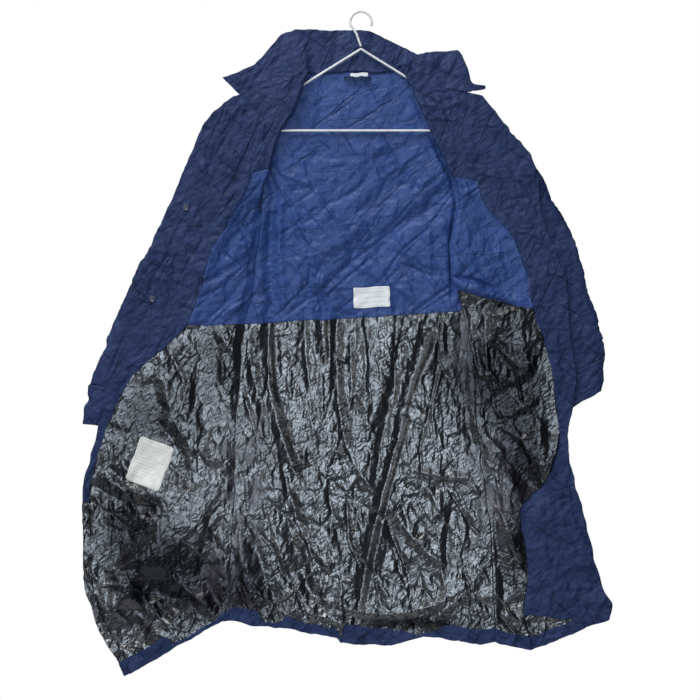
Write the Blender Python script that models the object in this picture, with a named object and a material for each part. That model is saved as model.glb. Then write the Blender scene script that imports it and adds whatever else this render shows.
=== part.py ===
"""A long raincoat hung open on a coated wire hanger, with both fronts turned out to the sides.

Metres, +Z up. The origin is the inner top of the hanger's hook. The wearer faces -Y, so the
wearer's right side is at -X. Tables hold millimetres, one row for a station down or along a piece.
"""

import math

import bmesh
import bpy
import numpy as np

MM = 0.001

# Driving sizes, metres
SHELL_WALL = 0.0015
LINING_WALL = 0.0012
COLLAR_WALL = 0.0024
LABEL_WALL = 0.0008
SEAM_GAP = 0.0003
BACK_DEPTH = 0.0065
WIRE_RADIUS = 0.0023
HOOK_RADIUS = 0.0205
HANGER_HALF_WIDTH = 0.205
HANGER_JOINT_Z = -0.069
HANGER_BAR_Z = -0.224
HANGER_SLOPE = math.radians(28.3)
HANGER_END_RADIUS = 0.018
ARCH_RISE = 0.004
ARCH_REACH = 0.0085

# Cloth grids: steps between two stations, and cells across each zone of a front
ROW_STEPS = 2
RETURN_CELLS = 3
LINING_CELLS = 4
FACING_CELLS = 3
RING_SIDES = 14
TURN_WIDTH = 6.0

# Stations of a front and of the back's side edges, counted from the gorge
UNDERARM = 5
LINING_TOP = 4
LINING_HEM = 8
FACING_END = 14
HEM_BAND_TOP = 15
HEM = 16
RIGHT_FACING_END = 15

# Columns of the back's grid, counted from the wearer's right: the neck, and the flat middle panel
NECK_COLUMNS = (5, 14)
MIDDLE_COLUMNS = (4, 16)

SHELL_NAVY = (0.020, 0.030, 0.085)
LINING_BLUE = (0.030, 0.060, 0.220)
LABEL_WHITE = (0.80, 0.80, 0.76)
WIRE_WHITE = (0.85, 0.85, 0.84)
BUTTON_NAVY = (0.015, 0.018, 0.030)

FRONT_COLUMNS = (
    "seam_x seam_y seam_z fold_x fold_z facing_x facing_z edge_x edge_z"
    " return_y fold_y facing_y edge_y lift turn"
)
# The wearer's right front (-X): seam, then roll edge, then the facing's inner edge, then front edge.
# Lift is how far its seam edge lies in front of the back's, where the front is turned over
RIGHT_FRONT = """
-211  -5.5  -170   -100  -113  -160  -136  -243  -160   -5.5  -11  -11  -10   0    1
-208  -6.5  -200   -118  -158  -192  -182  -294  -205   -6.5  -13  -13  -12   0    1
-204  -6.5  -240   -141  -206  -206  -238  -321  -265   -6.5  -13  -13  -12   0    1
-199  -6.5  -282   -165  -255  -214  -275  -346  -327   -6.5  -13  -13  -12   0    1
-196  -5.0  -305   -174  -297  -208  -304  -370  -379   -5.0  -12  -12  -11   0    1
-188   9.0  -379   -204  -379  -243  -388  -400  -452    6.0    0  -10  -11   0    0
-197   9.0  -455   -213  -455  -284  -455  -434  -540    6.0   -1  -11  -10   0    0
-208   9.0  -534   -224  -534  -305  -530  -458  -590    6.0   -2  -10   -9   0    0
-222   8.0  -593   -238  -593  -329  -594  -475  -640    6.0   -2   -9   -8   0    0
-232   6.0  -700   -246  -700  -440  -700  -490  -738    4.0    0   -8   -7   0    0
-240   5.0  -812   -255  -812  -487  -806  -502  -804    3.0    0   -4   -4   0    0
-242   4.0  -926   -258  -926  -500  -914  -519  -912    3.0    1    0   -2   0    0
-250   4.0 -1040   -266 -1040  -514 -1049  -529 -1050    3.0    2    0    0   0    0
-250   4.0 -1090   -266 -1090  -500 -1130  -513 -1133    3.0    2    1    0   0    0
-250   4.0 -1110   -266 -1110  -478 -1180  -490 -1190    3.0    2    2    0   0    0
-249   4.0 -1128   -264 -1128  -448 -1228  -461 -1236    3.0    2    2    1   0    0
-248   4.0 -1156   -262 -1156  -440 -1256  -452 -1262    3.0    2    2    2   0    0
"""
# The wearer's left front (+X)
LEFT_FRONT = """
 218  -5.5  -166     78  -101   150  -141   232  -157   -5.5  -11  -11  -10   0    1
 217.5 -6.5 -200     97  -146   175  -185   268  -206   -6.5  -13  -13  -12   0    1
 214  -6.5  -240    120  -196   196  -222   298  -242   -6.5  -13  -13  -12   0    1
 211  -6.5  -282    142  -242   208  -262   323  -270   -6.5  -13  -13  -12   0    1
 209  -5.0  -300    158  -278   217  -290   338  -327   -5.0  -12  -12  -11   0    1
 203   9.0  -379    188  -350   246  -350   344  -386   -3.0  -12  -11  -10   3.3  1
 208   9.0  -455    170  -440   291  -436   374  -465   -3.0  -12  -11   -9   3.3  1
 212   8.0  -520    173  -505   316  -505   391  -520   -3.0  -12  -10   -9   3.3  1
 214   7.0  -566    182  -530   326  -565   396  -590   -2.0  -10  -10   -8   3.3  1
 215   6.0  -690    213  -650   358  -665   407  -700    0.0   -6   -9   -7   0.3  1
 222   5.0  -800    237  -795   376  -805   392  -808    3.0    0   -5   -5   0    0
 236   4.0  -900    253  -896   350  -889   404  -885    3.0    2   -3   -4   0    0
 248   4.0 -1010    264  -985   304  -950   426  -965    3.0    2   -2   -3   0    0
 252   4.0 -1090    268 -1085   318 -1066   447 -1048    3.0    2    0   -2   0    0
 254   4.0 -1135    269 -1130   310 -1146   465 -1100    3.0    2    1   -1   0    0
 254   4.0 -1170    270 -1176   322 -1185   478 -1127    3.0    2    2    0   0    0
 254   4.0 -1197    270 -1202   326 -1210   471 -1153    3.0    2    2    2   0    0
"""

# The back's armhole edges; below the underarm its sides follow the two fronts' seams
BACK_ARMHOLES = """
right_x right_y right_z  left_x left_y left_z
-213  9.0 -176   220  9.0 -170
-205 14.0 -238   214 14.0 -238
-198 14.0 -300   209 14.0 -300
"""
# The back's top line: shoulder, neck and shoulder. The collar's seam follows its middle
BACK_TOP = """
x z
-213 -172
-186 -158.5
-158 -144
-130 -129.5
-100 -114
-89  -114
-75  -112.5
-60  -111
-37  -109.5
-13  -110
4    -109.5
20   -109.5
40   -109
60   -108
68   -105
78   -101
104  -113
133  -125.5
162  -139
191  -152
220  -165
"""
BACK_HEM = """
x z
-248 -1156
-200 -1166
-150 -1170
-101 -1181
-44  -1189
-40  -1198
-21  -1202
60   -1204
120  -1188
186  -1194
225  -1204
254  -1197
"""

# The collar, from the wearer's right point to the left one
COLLAR = """
inner_x inner_y inner_z  outer_x outer_y outer_z
-230 -10   -155.6  -264 -12  -126
-196 -11   -145.8  -205  -8  -101
-160 -11   -135.5  -170  -3   -62
-133 -11   -124.0  -152   2   -40
-106 -11   -112.5  -139   4   -33
-100  -8.5 -112.5  -120   5   -31
-89    4.5 -113.5  -100   6   -31
-75    4.5 -112.0   -80   7   -31
-60    4.5 -110.5   -62   8   -31
-37    4.5 -109.0   -38   9   -31
-13    4.5 -109.5   -13   9   -31.5
4      4.5 -109.0    10   9   -33
20     4.5 -109.0    28   9   -37
40     4.5 -108.5    45   8   -46
60     4.5 -107.5    62   7   -55
68     4.5 -103.7    78   6   -63
78    -8.5 -100.5    92   4   -70
84   -11   -100.5   110   2   -78
117  -11   -120.4   141  -3   -72
150  -11   -140.5   180  -6   -71
191 -10.5  -148.3   200  -9  -104
203 -10.3  -150.8   210 -11  -130
212 -10.3  -145.5   215 -12  -136
236 -10.3  -146.0   236 -12  -140
"""
COLLAR_ROWS = 3

# Sleeves: the two ends of each flattened ring and half its thickness
RIGHT_SLEEVE = """
outer_x outer_z inner_x inner_z outer_y inner_y half
-216.5 -177  -193 -372   6.5  12.5  10
-255   -203  -214 -404   6.5  10.5  10
-314   -275  -246 -452   6     8    10.5
-364   -375  -284 -520   6     7    11
-423   -480  -312 -590   7     7    11
-468   -580  -342 -655   7     7    11
-502   -664  -362 -703   8     8    10.5
-519   -708  -373 -725   8     8    10
-530   -781  -384 -800   8     8    10
"""
LEFT_SLEEVE = """
outer_x outer_z inner_x inner_z outer_y inner_y half
 223   -171   207 -372   6.5  13    10
 262   -197   228 -406   6.5  10.5  10
 318   -262   256 -450   6     8    10.5
 362   -345   284 -500   6     7    11
 402   -420   302 -560   7     7    11
 428   -508   318 -620   7     7    11
 452   -585   326 -672   7     7    10.5
 464   -655   328 -716   8     8    10
 458   -719   330 -786   8     8    10
"""
HEAD_STATION, ELBOW_STATION, CUFF_STATION = 2, 4, 7

# The largest folds: a line from start to end, half width, height towards the viewer (trough below 0)
FOLD_COLUMNS = "x0 z0 x1 z1 width height"
BACK_FOLDS = """
 135  -700   -13 -1141   17  -5.0
 150  -720    10 -1141   17   4.0
-175  -620   -90 -1106   20  -4.5
-130  -640   -55 -1080   22   3.5
 -49  -641   -21  -810   18   3.5
 150  -360   -10  -470   20  -3.0
 -90  -400    10  -290   18  -2.5
  80  -620    60  -900   20   3.5
 180  -640   120 -1000   22  -4.5
"""
RIGHT_FOLDS = """
-300  -640  -290  -890   20   4.0
-500  -920  -262  -946   20   5.0
-262  -960  -440 -1050   22   5.5
-300 -1020  -270 -1130   20  -5.0
-420 -1080  -330 -1170   22  -4.5
-260  -400  -300  -620   20  -3.0
-380  -660  -340  -800   20   3.5
"""
LEFT_FOLDS = """
 268  -790   350  -850   18   6.0
 300  -800   325  -900   20  -6.0
 225  -330   300  -520   20  -3.0
 230  -570   300  -700   22  -4.0
 290  -700   340  -640   18   3.5
 330  -930   440 -1040   22   3.0
 160  -200   330  -275   16  -3.5
"""


def table(text, columns=None):
    """A text table as arrays of metres by column name; turn is a plain share from 0 to 1."""
    lines = text.strip().splitlines()
    names = (columns or lines.pop(0)).split()
    values = np.array([line.split() for line in lines], float).T
    return {name: row if name == "turn" else row * MM for name, row in zip(names, values)}


def between(values, steps):
    """Values at steps even places between each two stations."""
    places = np.linspace(0, len(values) - 1, (len(values) - 1) * steps + 1)
    return np.interp(places, np.arange(len(values)), values)


def blend(start, end, share):
    return start + (end - start) * share


def fold_depth(folds, x, z):
    """Sum of soft ridges and troughs: each a bell across its line, faded out at its two ends."""
    depth = np.zeros_like(x)
    for x0, z0, x1, z1, width, height in zip(*(folds[name] for name in FOLD_COLUMNS.split())):
        along_x, along_z = x1 - x0, z1 - z0
        length = math.hypot(along_x, along_z)
        along = ((x - x0) * along_x + (z - z0) * along_z) / length**2
        across = ((x - x0) * along_z - (z - z0) * along_x) / length
        fade = np.clip(1.2 - 2 * np.abs(along - 0.5), 0, 1)
        depth += height * fade * np.exp(-((across / width) ** 2))
    return depth


def front_points(front, folds, outward, steps=ROW_STEPS):
    """The viewer's side of a front's shell: rows down the coat, columns from seam to front edge.

    Each row starts at the seam, turns round the roll edge where turn is 1 and runs flat where it
    is 0, then crosses the lining's zone to the facing's inner edge and its own to the front edge.
    """
    at = {name: between(values, steps)[:, None] for name, values in front.items()}
    turn, tip = at["turn"], TURN_WIDTH * MM * outward
    seam_y = at["seam_y"] - at["lift"]
    turned_x = np.hstack([at["seam_x"], at["fold_x"] + tip, at["fold_x"], at["fold_x"] + tip])
    turned_y = np.hstack(
        [seam_y, at["return_y"], (at["return_y"] + at["fold_y"]) / 2, at["fold_y"]]
    )
    share = np.linspace(0, 1, RETURN_CELLS + 1)
    flat_x = blend(at["seam_x"], at["fold_x"], share)
    flat_y = blend(seam_y, at["fold_y"], share)
    z = np.hstack([at["seam_z"]] + [at["fold_z"]] * RETURN_CELLS)
    x = blend(flat_x, turned_x, turn)
    y = blend(flat_y, turned_y, turn)

    across = np.linspace(0, 1, LINING_CELLS + 1)[1:]
    beyond = np.linspace(0, 1, FACING_CELLS + 1)[1:]
    x, y, z = (
        np.hstack(
            [
                values,
                blend(values[:, -1:], at[f"facing_{axis}"], across),
                blend(at[f"facing_{axis}"], at[f"edge_{axis}"], beyond),
            ]
        )
        for axis, values in (("x", x), ("y", y), ("z", z))
    )
    ramp = np.clip((np.arange(x.shape[1]) - RETURN_CELLS) / 2, 0, 1)
    y = y - fold_depth(folds, x, z) * ramp
    return np.stack([x, y, z], axis=-1)


def back_points(fronts, armholes, top, hem, folds, steps=ROW_STEPS):
    """The viewer's side of the back's shell, between its side edges, top line and hem.

    Two rows above the top line arch forward over the hanger's arms, as the shoulder seams do.
    """
    edges = []
    for side, front in zip(("right", "left"), fronts):
        edge = []
        for axis in "xyz":
            below = front[f"seam_{axis}"][UNDERARM:]
            edge.append(between(np.concatenate([armholes[f"{side}_{axis}"], below]), steps))
        edges.append(np.stack(edge, axis=-1))
    right, left = (edge[:, None, :] for edge in edges)
    share = (top["x"] - top["x"][0]) / (top["x"][-1] - top["x"][0])
    points = blend(right, left, share[None, :, None])
    down = np.linspace(0, 1, len(points))[:, None]
    points[..., 2] += (top["z"] - points[0, :, 2]) * np.clip(1 - 5 * down, 0, 1)
    hem_z = np.interp(points[-1, :, 0], hem["x"], hem["z"])
    points[..., 2] += (hem_z - points[-1, :, 2]) * np.clip(5 * down - 4, 0, 1)

    middle = np.clip(1 - np.abs(2 * share - 1), 0, 1)
    edge_y = points[..., 1].copy()
    points[..., 1] = BACK_DEPTH + (edge_y - BACK_DEPTH) * (1 - middle) ** 4
    points[..., 1] -= fold_depth(folds, points[..., 0], points[..., 2]) * np.clip(3 * middle, 0, 1)

    neck = (top["x"] > -95 * MM) & (top["x"] < 73 * MM)
    arch = []
    for rise, reach in ((0.0, 1.0), (1.0, 0.5)):
        row = points[0].copy()
        row[:, 2] += np.where(neck, 0, rise * ARCH_RISE)
        row[:, 1] -= np.where(neck, 0, reach * ARCH_REACH)
        arch.append(row)
    drop = np.where(neck, 4 * MM, 0)
    arch[1][:, 2] -= drop / 2
    points[0, :, 2] -= drop
    return np.concatenate([np.array(arch), points])


def collar_points(collar):
    """The viewer's side of the collar: rows from its outer edge to its seam."""
    share = np.linspace(0, 1, COLLAR_ROWS + 1)[:, None]
    inner, outer = (
        np.stack([collar[f"{edge}_{axis}"] for axis in "xyz"], axis=-1) for edge in ("inner", "outer")
    )
    return blend(outer[None], inner[None], share[..., None])


def sleeve_points(sleeve, start, end, wall):
    """The outside of a sleeve, or its inside when wall is its thickness, from station to station."""
    count = int(round((end - start) * 1.5)) + 1
    places = np.linspace(start, end, count)
    at = {name: np.interp(places, np.arange(len(values)), values)[:, None] for name, values in sleeve.items()}
    angle = np.arange(RING_SIDES) * 2 * math.pi / RING_SIDES
    across = np.sign(np.cos(angle)) * np.abs(np.cos(angle)) ** 0.85
    deep = np.sign(np.sin(angle)) * np.abs(np.sin(angle)) ** 0.75
    outer, inner = (
        np.stack([at[f"{end}_{axis}"] for axis in "xyz"], axis=-1) for end in ("outer", "inner")
    )
    reach = (outer - inner) / 2
    inside = 1 - wall / np.linalg.norm(reach, axis=-1, keepdims=True)
    points = (outer + inner) / 2 + reach * across[:, None] * inside
    points[..., 1] += (at["half"] - wall) * deep
    return points


def viewer_normals(points, level_rows=(), plumb_columns=()):
    """Unit normals of a grid of points, on the viewer's side where it lies flat.

    On level rows they have no Z part, and in plumb columns no X part, so that a wall's end there
    stays square to the piece that it is sewn to.
    """
    normal = np.cross(np.gradient(points, axis=1), np.gradient(points, axis=0))
    if normal[..., 1].mean() > 0:
        normal = -normal
    for row in level_rows:
        normal[row, :, 2] = 0
    for column in plumb_columns:
        normal[:, column, 0] = 0
    return normal / np.linalg.norm(normal, axis=-1, keepdims=True)


def eased(points, cells):
    """Points on the rim of the chosen cells, moved in by the seam gap."""
    rows, columns = points.shape[:2]
    count = np.zeros((rows, columns, 1))
    total = np.zeros((rows, columns, 3))
    centre = (points[1:, 1:] + points[:-1, 1:] + points[1:, :-1] + points[:-1, :-1]) / 4
    for down in (0, 1):
        for across in (0, 1):
            part = (slice(down, down + rows - 1), slice(across, across + columns - 1))
            count[part] += cells[..., None]
            total[part] += centre * cells[..., None]
    inward = total / np.maximum(count, 1) - points
    length = np.maximum(np.linalg.norm(inward, axis=-1, keepdims=True), 1e-9)
    return np.where((count > 0) & (count < 4), points + inward / length * SEAM_GAP, points)


def material(name, colour, roughness, metallic=0.0):
    made = bpy.data.materials.new(name)
    made.use_nodes = True
    shader = made.node_tree.nodes["Principled BSDF"]
    shader.inputs["Base Color"].default_value = (*colour, 1)
    shader.inputs["Roughness"].default_value = roughness
    shader.inputs["Metallic"].default_value = metallic
    return made


def add_mesh(name, points, faces, colour, roughness, smooth=True):
    mesh = bpy.data.meshes.new(name)
    mesh.from_pydata([tuple(point) for point in points], [], faces)
    build = bmesh.new()
    build.from_mesh(mesh)
    bmesh.ops.delete(build, geom=[v for v in build.verts if not v.link_faces], context="VERTS")
    bmesh.ops.recalc_face_normals(build, faces=build.faces)
    build.to_mesh(mesh)
    build.free()
    if smooth:
        mesh.shade_smooth()
        mesh.set_sharp_from_angle(angle=math.radians(50))
    made = bpy.data.objects.new(name, mesh)
    bpy.context.collection.objects.link(made)
    mesh.materials.append(material(name, colour, roughness))
    return made


def wall(name, near, far, colour, roughness, cells=None, ring=False):
    """Closes a sheet of cloth into one body between its near and far grids of points."""
    rows, columns = near.shape[:2]
    index = np.arange(rows * columns).reshape(rows, columns)
    if ring:
        index = np.hstack([index, index[:, :1]])
    if cells is None:
        cells = np.ones((rows - 1, index.shape[1] - 1), bool)
    back = rows * columns
    faces = []
    framed = np.pad(cells, 1)
    if ring:
        framed[:, 0], framed[:, -1] = framed[:, -2], framed[:, 1]
    for i, j in np.argwhere(cells):
        corners = [index[i, j], index[i, j + 1], index[i + 1, j + 1], index[i + 1, j]]
        for triangle in (corners[:3], [corners[2], corners[3], corners[0]]):
            faces.append([int(v) for v in triangle])
            faces.append([int(v) + back for v in reversed(triangle)])
        beside = (framed[i, j + 1], framed[i + 1, j + 2], framed[i + 2, j + 1], framed[i + 1, j])
        for k, kept in enumerate(beside):
            if not kept:
                first, second = int(corners[k]), int(corners[(k + 1) % 4])
                faces.append([second, first, first + back, second + back])
    points = np.concatenate([near.reshape(-1, 3), far.reshape(-1, 3)])
    return add_mesh(name, points, faces, colour, roughness)


def chosen(points, *blocks):
    """Cells of a grid that lie in any of the blocks (first row, last row, first column, last column)."""
    cells = np.zeros((points.shape[0] - 1, points.shape[1] - 1), bool)
    for top, bottom, first, last in blocks:
        cells[top:bottom, first:last] = True
    return cells


def layer(name, points, normals, thickness, colour, roughness, cells, under=SEAM_GAP):
    """A sheet that lies on a panel: the panel's own points, eased at the rim and moved out."""
    base = eased(points, cells)
    return wall(
        name,
        base + normals * (under + thickness),
        base + normals * under,
        colour,
        roughness,
        cells,
    )


def patch(name, points, normals, rows, columns, thickness, colour, roughness, under):
    """A label on a panel: bilinear places in the panel's grid, moved out by its normals."""

    def read(values):
        top, left = np.floor(rows).astype(int), np.floor(columns).astype(int)
        down, across = (rows - top)[..., None], (columns - left)[..., None]
        upper = blend(values[top, left], values[top, left + 1], across)
        lower = blend(values[top + 1, left], values[top + 1, left + 1], across)
        return blend(upper, lower, down)

    base, out = read(points), read(normals)
    near = base + out * (under + thickness)
    return wall(name, near, base + out * under, colour, roughness)


def places_at(points, x, z, first_column=0):
    """Grid places, as fractional rows and columns, whose bilinear point has the given x and z."""
    target = np.stack([x, z], axis=-1)
    flat = points[..., [0, 2]]
    gap = np.linalg.norm(flat[:-1, first_column:-1] - target[..., None, None, :], axis=-1)
    nearest = gap.reshape(*x.shape, -1).argmin(axis=-1)
    width = gap.shape[-1]
    rows, columns = (nearest // width).astype(float), (nearest % width + first_column).astype(float)
    for _ in range(12):
        top = np.clip(np.floor(rows).astype(int), 0, flat.shape[0] - 2)
        left = np.clip(np.floor(columns).astype(int), first_column, flat.shape[1] - 2)
        down, across = (rows - top)[..., None], (columns - left)[..., None]
        a, b = flat[top, left], flat[top, left + 1]
        c, d = flat[top + 1, left], flat[top + 1, left + 1]
        here = blend(blend(a, b, across), blend(c, d, across), down)
        by_row = blend(c - a, d - b, across)
        by_column = blend(b - a, d - c, down)
        miss = target - here
        scale = by_row[..., 0] * by_column[..., 1] - by_row[..., 1] * by_column[..., 0]
        rows = rows + (miss[..., 0] * by_column[..., 1] - miss[..., 1] * by_column[..., 0]) / scale
        columns = columns + (by_row[..., 0] * miss[..., 1] - by_row[..., 1] * miss[..., 0]) / scale
    return rows, columns


def label(name, points, normals, centre, size, tilt, thickness, under, first_column=0):
    """A flat label, given by its centre, width and height in x and z, and its tilt in degrees."""
    across, down = np.meshgrid(np.linspace(-0.5, 0.5, 5), np.linspace(0.5, -0.5, 7))
    turn = math.radians(tilt)
    wide, high = across * size[0] * MM, down * size[1] * MM
    x = centre[0] * MM + wide * math.cos(turn) - high * math.sin(turn)
    z = centre[1] * MM + wide * math.sin(turn) + high * math.cos(turn)
    rows, columns = places_at(points, x, z, first_column)
    return patch(name, points, normals, rows, columns, thickness, LABEL_WHITE, 0.6, under)


def turned(name, centre, profile, colour, roughness, facing, sides=16):
    """A button: a profile of (radius, height) pairs turned about the Y axis, its face to -Y or +Y."""
    angle = np.arange(sides) * 2 * math.pi / sides
    rings = [(r * MM * np.cos(angle), r * MM * np.sin(angle), h * MM) for r, h in profile]
    points, faces = [], []
    for x, z, height in rings:
        points += [(centre[0] + a, centre[1] + facing * height, centre[2] + b) for a, b in zip(x, z)]
    for ring in range(len(rings) - 1):
        for k in range(sides):
            a, b = ring * sides + k, ring * sides + (k + 1) % sides
            faces.append([a, b, b + sides, a + sides])
    faces.append(list(range(sides)))
    faces.append(list(range((len(rings) - 1) * sides, len(rings) * sides)))
    return add_mesh(name, points, faces, colour, roughness)


def wire(name, path, closed, sides=10):
    """A round wire along a path in the XZ plane, closed on itself or with flat ends."""
    x, z = np.array(path).T
    points = np.stack([x, np.zeros_like(x), z], axis=-1)
    if closed:
        ahead, behind = np.roll(points, -1, axis=0), np.roll(points, 1, axis=0)
    else:
        ahead, behind = np.vstack([points[1:], points[-1:]]), np.vstack([points[:1], points[:-1]])
    along = ahead - behind
    along /= np.linalg.norm(along, axis=1, keepdims=True)
    side = np.stack([-along[:, 2], along[:, 1], along[:, 0]], axis=-1)
    angle = np.arange(sides) * 2 * math.pi / sides
    ring = side[:, None] * np.cos(angle)[:, None] + np.array([0, 1, 0]) * np.sin(angle)[:, None]
    shell = (points[:, None] + WIRE_RADIUS * ring).reshape(-1, 3)
    count, faces = len(points), []
    for i in range(count if closed else count - 1):
        for k in range(sides):
            a, b = i * sides, (i + 1) % count * sides
            faces.append([a + k, a + (k + 1) % sides, b + (k + 1) % sides, b + k])
    if not closed:
        faces += [list(range(sides)), list(range((count - 1) * sides, count * sides))]
    return add_mesh(name, shell, faces, WIRE_WHITE, 0.35)


def arc(centre, radius, start, end, steps):
    """Points round a centre from one angle to another, in degrees, +X through +Z."""
    angle = np.radians(np.linspace(start, end, steps))
    return [(centre[0] + radius * math.cos(a), centre[1] + radius * math.sin(a)) for a in angle]


def make_hanger():
    """Two straight sloping arms, and a bar whose rounded ends turn up to meet them."""
    slope = math.degrees(HANGER_SLOPE)
    radius, half = HANGER_END_RADIUS, HANGER_HALF_WIDTH
    centre_z = HANGER_BAR_Z + radius
    end_x = half - radius
    right_end = arc((end_x, centre_z), radius, 90 - slope, -90, 9)
    left_end = arc((-end_x, centre_z), radius, 270, 90 + slope, 9)
    shoulder = (end_x + radius * math.sin(HANGER_SLOPE), centre_z + radius * math.cos(HANGER_SLOPE))
    joint = (0.0, HANGER_JOINT_Z)
    rise = HANGER_JOINT_Z - shoulder[1]
    bar = [(end_x * t, HANGER_BAR_Z) for t in (0.6, 0.2, -0.2, -0.6)]
    wire("hanger_bar", right_end + bar + left_end, closed=False)
    for side, name in ((1, "hanger_left_arm"), (-1, "hanger_right_arm")):
        path = [(side * shoulder[0] * t, joint[1] - rise * t) for t in (0.008, 0.35, 0.7, 0.998)]
        wire(name, path, closed=False)
    centre = (0.0, WIRE_RADIUS - HOOK_RADIUS)
    neck_foot = (0.0, HANGER_JOINT_Z + 2 * WIRE_RADIUS + 2 * SEAM_GAP)
    neck = [neck_foot, (-0.003, -0.056), (-0.0085, -0.040), (-0.0145, -0.031)]
    wire("hanger_hook", neck + arc(centre, HOOK_RADIUS, 196, -20, 20), closed=False)


def make_front(side, front, folds, outward, facing_end):
    """A front's shell with its facing, lining and hem band; returns its points and normals."""
    points = front_points(front, folds, outward)
    points[:, 0, 0] += outward * SEAM_GAP
    normals = viewer_normals(points, level_rows=(0, -1), plumb_columns=(0,))
    last = points.shape[1] - 1
    inner = RETURN_CELLS + LINING_CELLS
    wall(f"{side}_front_shell", points, points - normals * SHELL_WALL, SHELL_NAVY, 0.5)
    hem_top = HEM_BAND_TOP * ROW_STEPS
    covered = chosen(
        points,
        (0, LINING_TOP * ROW_STEPS, 0, last),
        (LINING_TOP * ROW_STEPS, facing_end * ROW_STEPS, inner, last),
    )
    layer(f"{side}_facing", points, normals, LINING_WALL, SHELL_NAVY, 0.5, covered)
    underarm = UNDERARM * ROW_STEPS
    lined = chosen(
        points,
        (LINING_TOP * ROW_STEPS, underarm, RETURN_CELLS - 1, inner),
        (underarm, LINING_HEM * ROW_STEPS, 0, inner),
    )
    layer(f"{side}_front_lining", points, normals, LINING_WALL, LINING_BLUE, 0.45, lined)
    banded = chosen(points, (hem_top, HEM * ROW_STEPS, 1, last))
    layer(f"{side}_hem_band", points, normals, LINING_WALL, SHELL_NAVY, 0.5, banded)
    return points, normals


def make_back(fronts):
    """The back's shell in its cut pieces, with its lining and hem band; returns points and normals.

    The middle panel is flat. The two side panels come forward to the fronts, and the two shoulder
    pieces arch over the hanger's arms.
    """
    points = back_points(
        fronts, table(BACK_ARMHOLES), table(BACK_TOP), table(BACK_HEM), table(BACK_FOLDS, FOLD_COLUMNS)
    )
    normals = viewer_normals(points, level_rows=(-1,), plumb_columns=(0, -1))
    low, last = points.shape[0] - 1, points.shape[1] - 1
    neck_start, neck_end = NECK_COLUMNS
    middle_start, middle_end = MIDDLE_COLUMNS
    pieces = (
        ("back_shell", (0, 2, neck_start, neck_end), (2, low, middle_start, middle_end)),
        ("back_right_side", (2, low, 0, middle_start)),
        ("back_left_side", (2, low, middle_end, last)),
        ("right_shoulder", (0, 2, 0, neck_start)),
        ("left_shoulder", (0, 2, neck_end, last)),
    )
    for name, *blocks in pieces:
        cells = chosen(points, *blocks)
        base = eased(points, cells)
        wall(name, base, base - normals * SHELL_WALL, SHELL_NAVY, 0.5, cells)
    lining_hem = 2 + (LINING_HEM - UNDERARM + 3) * ROW_STEPS
    lined = chosen(points, (2, lining_hem, 0, last))
    layer("back_lining", points, normals, LINING_WALL, LINING_BLUE, 0.45, lined)
    banded = chosen(points, (low - ROW_STEPS, low, 0, last))
    layer("back_hem_band", points, normals, LINING_WALL, SHELL_NAVY, 0.5, banded)
    return points, normals


def make_sleeve(side, sleeve):
    """A sleeve as four tubes in a row: head, upper arm, forearm and cuff, open at both ends."""
    last = len(sleeve["half"]) - 1
    names = ("sleeve_head", "sleeve", "forearm", "cuff")
    starts = (0, HEAD_STATION + 0.008, ELBOW_STATION + 0.008, CUFF_STATION + 0.008)
    ends = (HEAD_STATION, ELBOW_STATION, CUFF_STATION, last)
    for name, start, end in zip(names, starts, ends):
        outside = sleeve_points(sleeve, start, end, 0)
        inside = sleeve_points(sleeve, start, end, SHELL_WALL)
        wall(f"{side}_{name}", outside, inside, SHELL_NAVY, 0.5, ring=True)


def make_neck_loop():
    """A short strap sewn at both ends to the neck seam, bowed towards the viewer, with its label."""
    across = np.linspace(-1, 1, 9)[None, :]
    high = np.array([1, 0, -1])[:, None]
    x = -10.5 * MM + across * 23.5 * MM + 0 * high
    z = -122.5 * MM + high * 4.5 * MM + 0 * across
    y = 2.9 * MM - 4.3 * MM * (1 - across**4) + 0 * high
    points = np.stack([x, y, z], axis=-1)
    out = np.array([0, -1, 0])
    wall("neck_loop", points, points - out * LINING_WALL, SHELL_NAVY, 0.5)
    held = points[:, 2:8] + out * SEAM_GAP
    held[..., 2] += 3.0 * MM
    wall("neck_loop_label", held + out * LABEL_WALL, held, LABEL_WHITE, 0.6)


def make_buttons(points, normals):
    """Two backing buttons on the right facing, and the front buttons that they are sewn to."""
    small = ((5.0, 0.0), (6.0, 0.5), (6.0, 1.6), (5.4, 2.2), (3.9, 2.2), (3.4, 1.7))
    large = ((9.5, 0.0), (10.5, 0.8), (10.5, 2.4), (9.6, 3.2), (7.4, 3.2), (6.8, 2.4))
    for number, (x, z) in enumerate(((-331.6, -371.0), (-395.8, -544.0)), start=1):
        rows, columns = places_at(points, np.array([x * MM]), np.array([z * MM]), RETURN_CELLS)
        here = points[int(round(rows[0])), int(round(columns[0]))]
        near_y = here[1] - LINING_WALL - 6 * SEAM_GAP
        far_y = here[1] + SHELL_WALL + 4 * SEAM_GAP
        turned(f"backing_button_{number}", (x * MM, near_y, z * MM), small, BUTTON_NAVY, 0.35, -1)
        turned(f"front_button_{number}", (x * MM, far_y, z * MM), large, BUTTON_NAVY, 0.35, 1)


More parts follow.
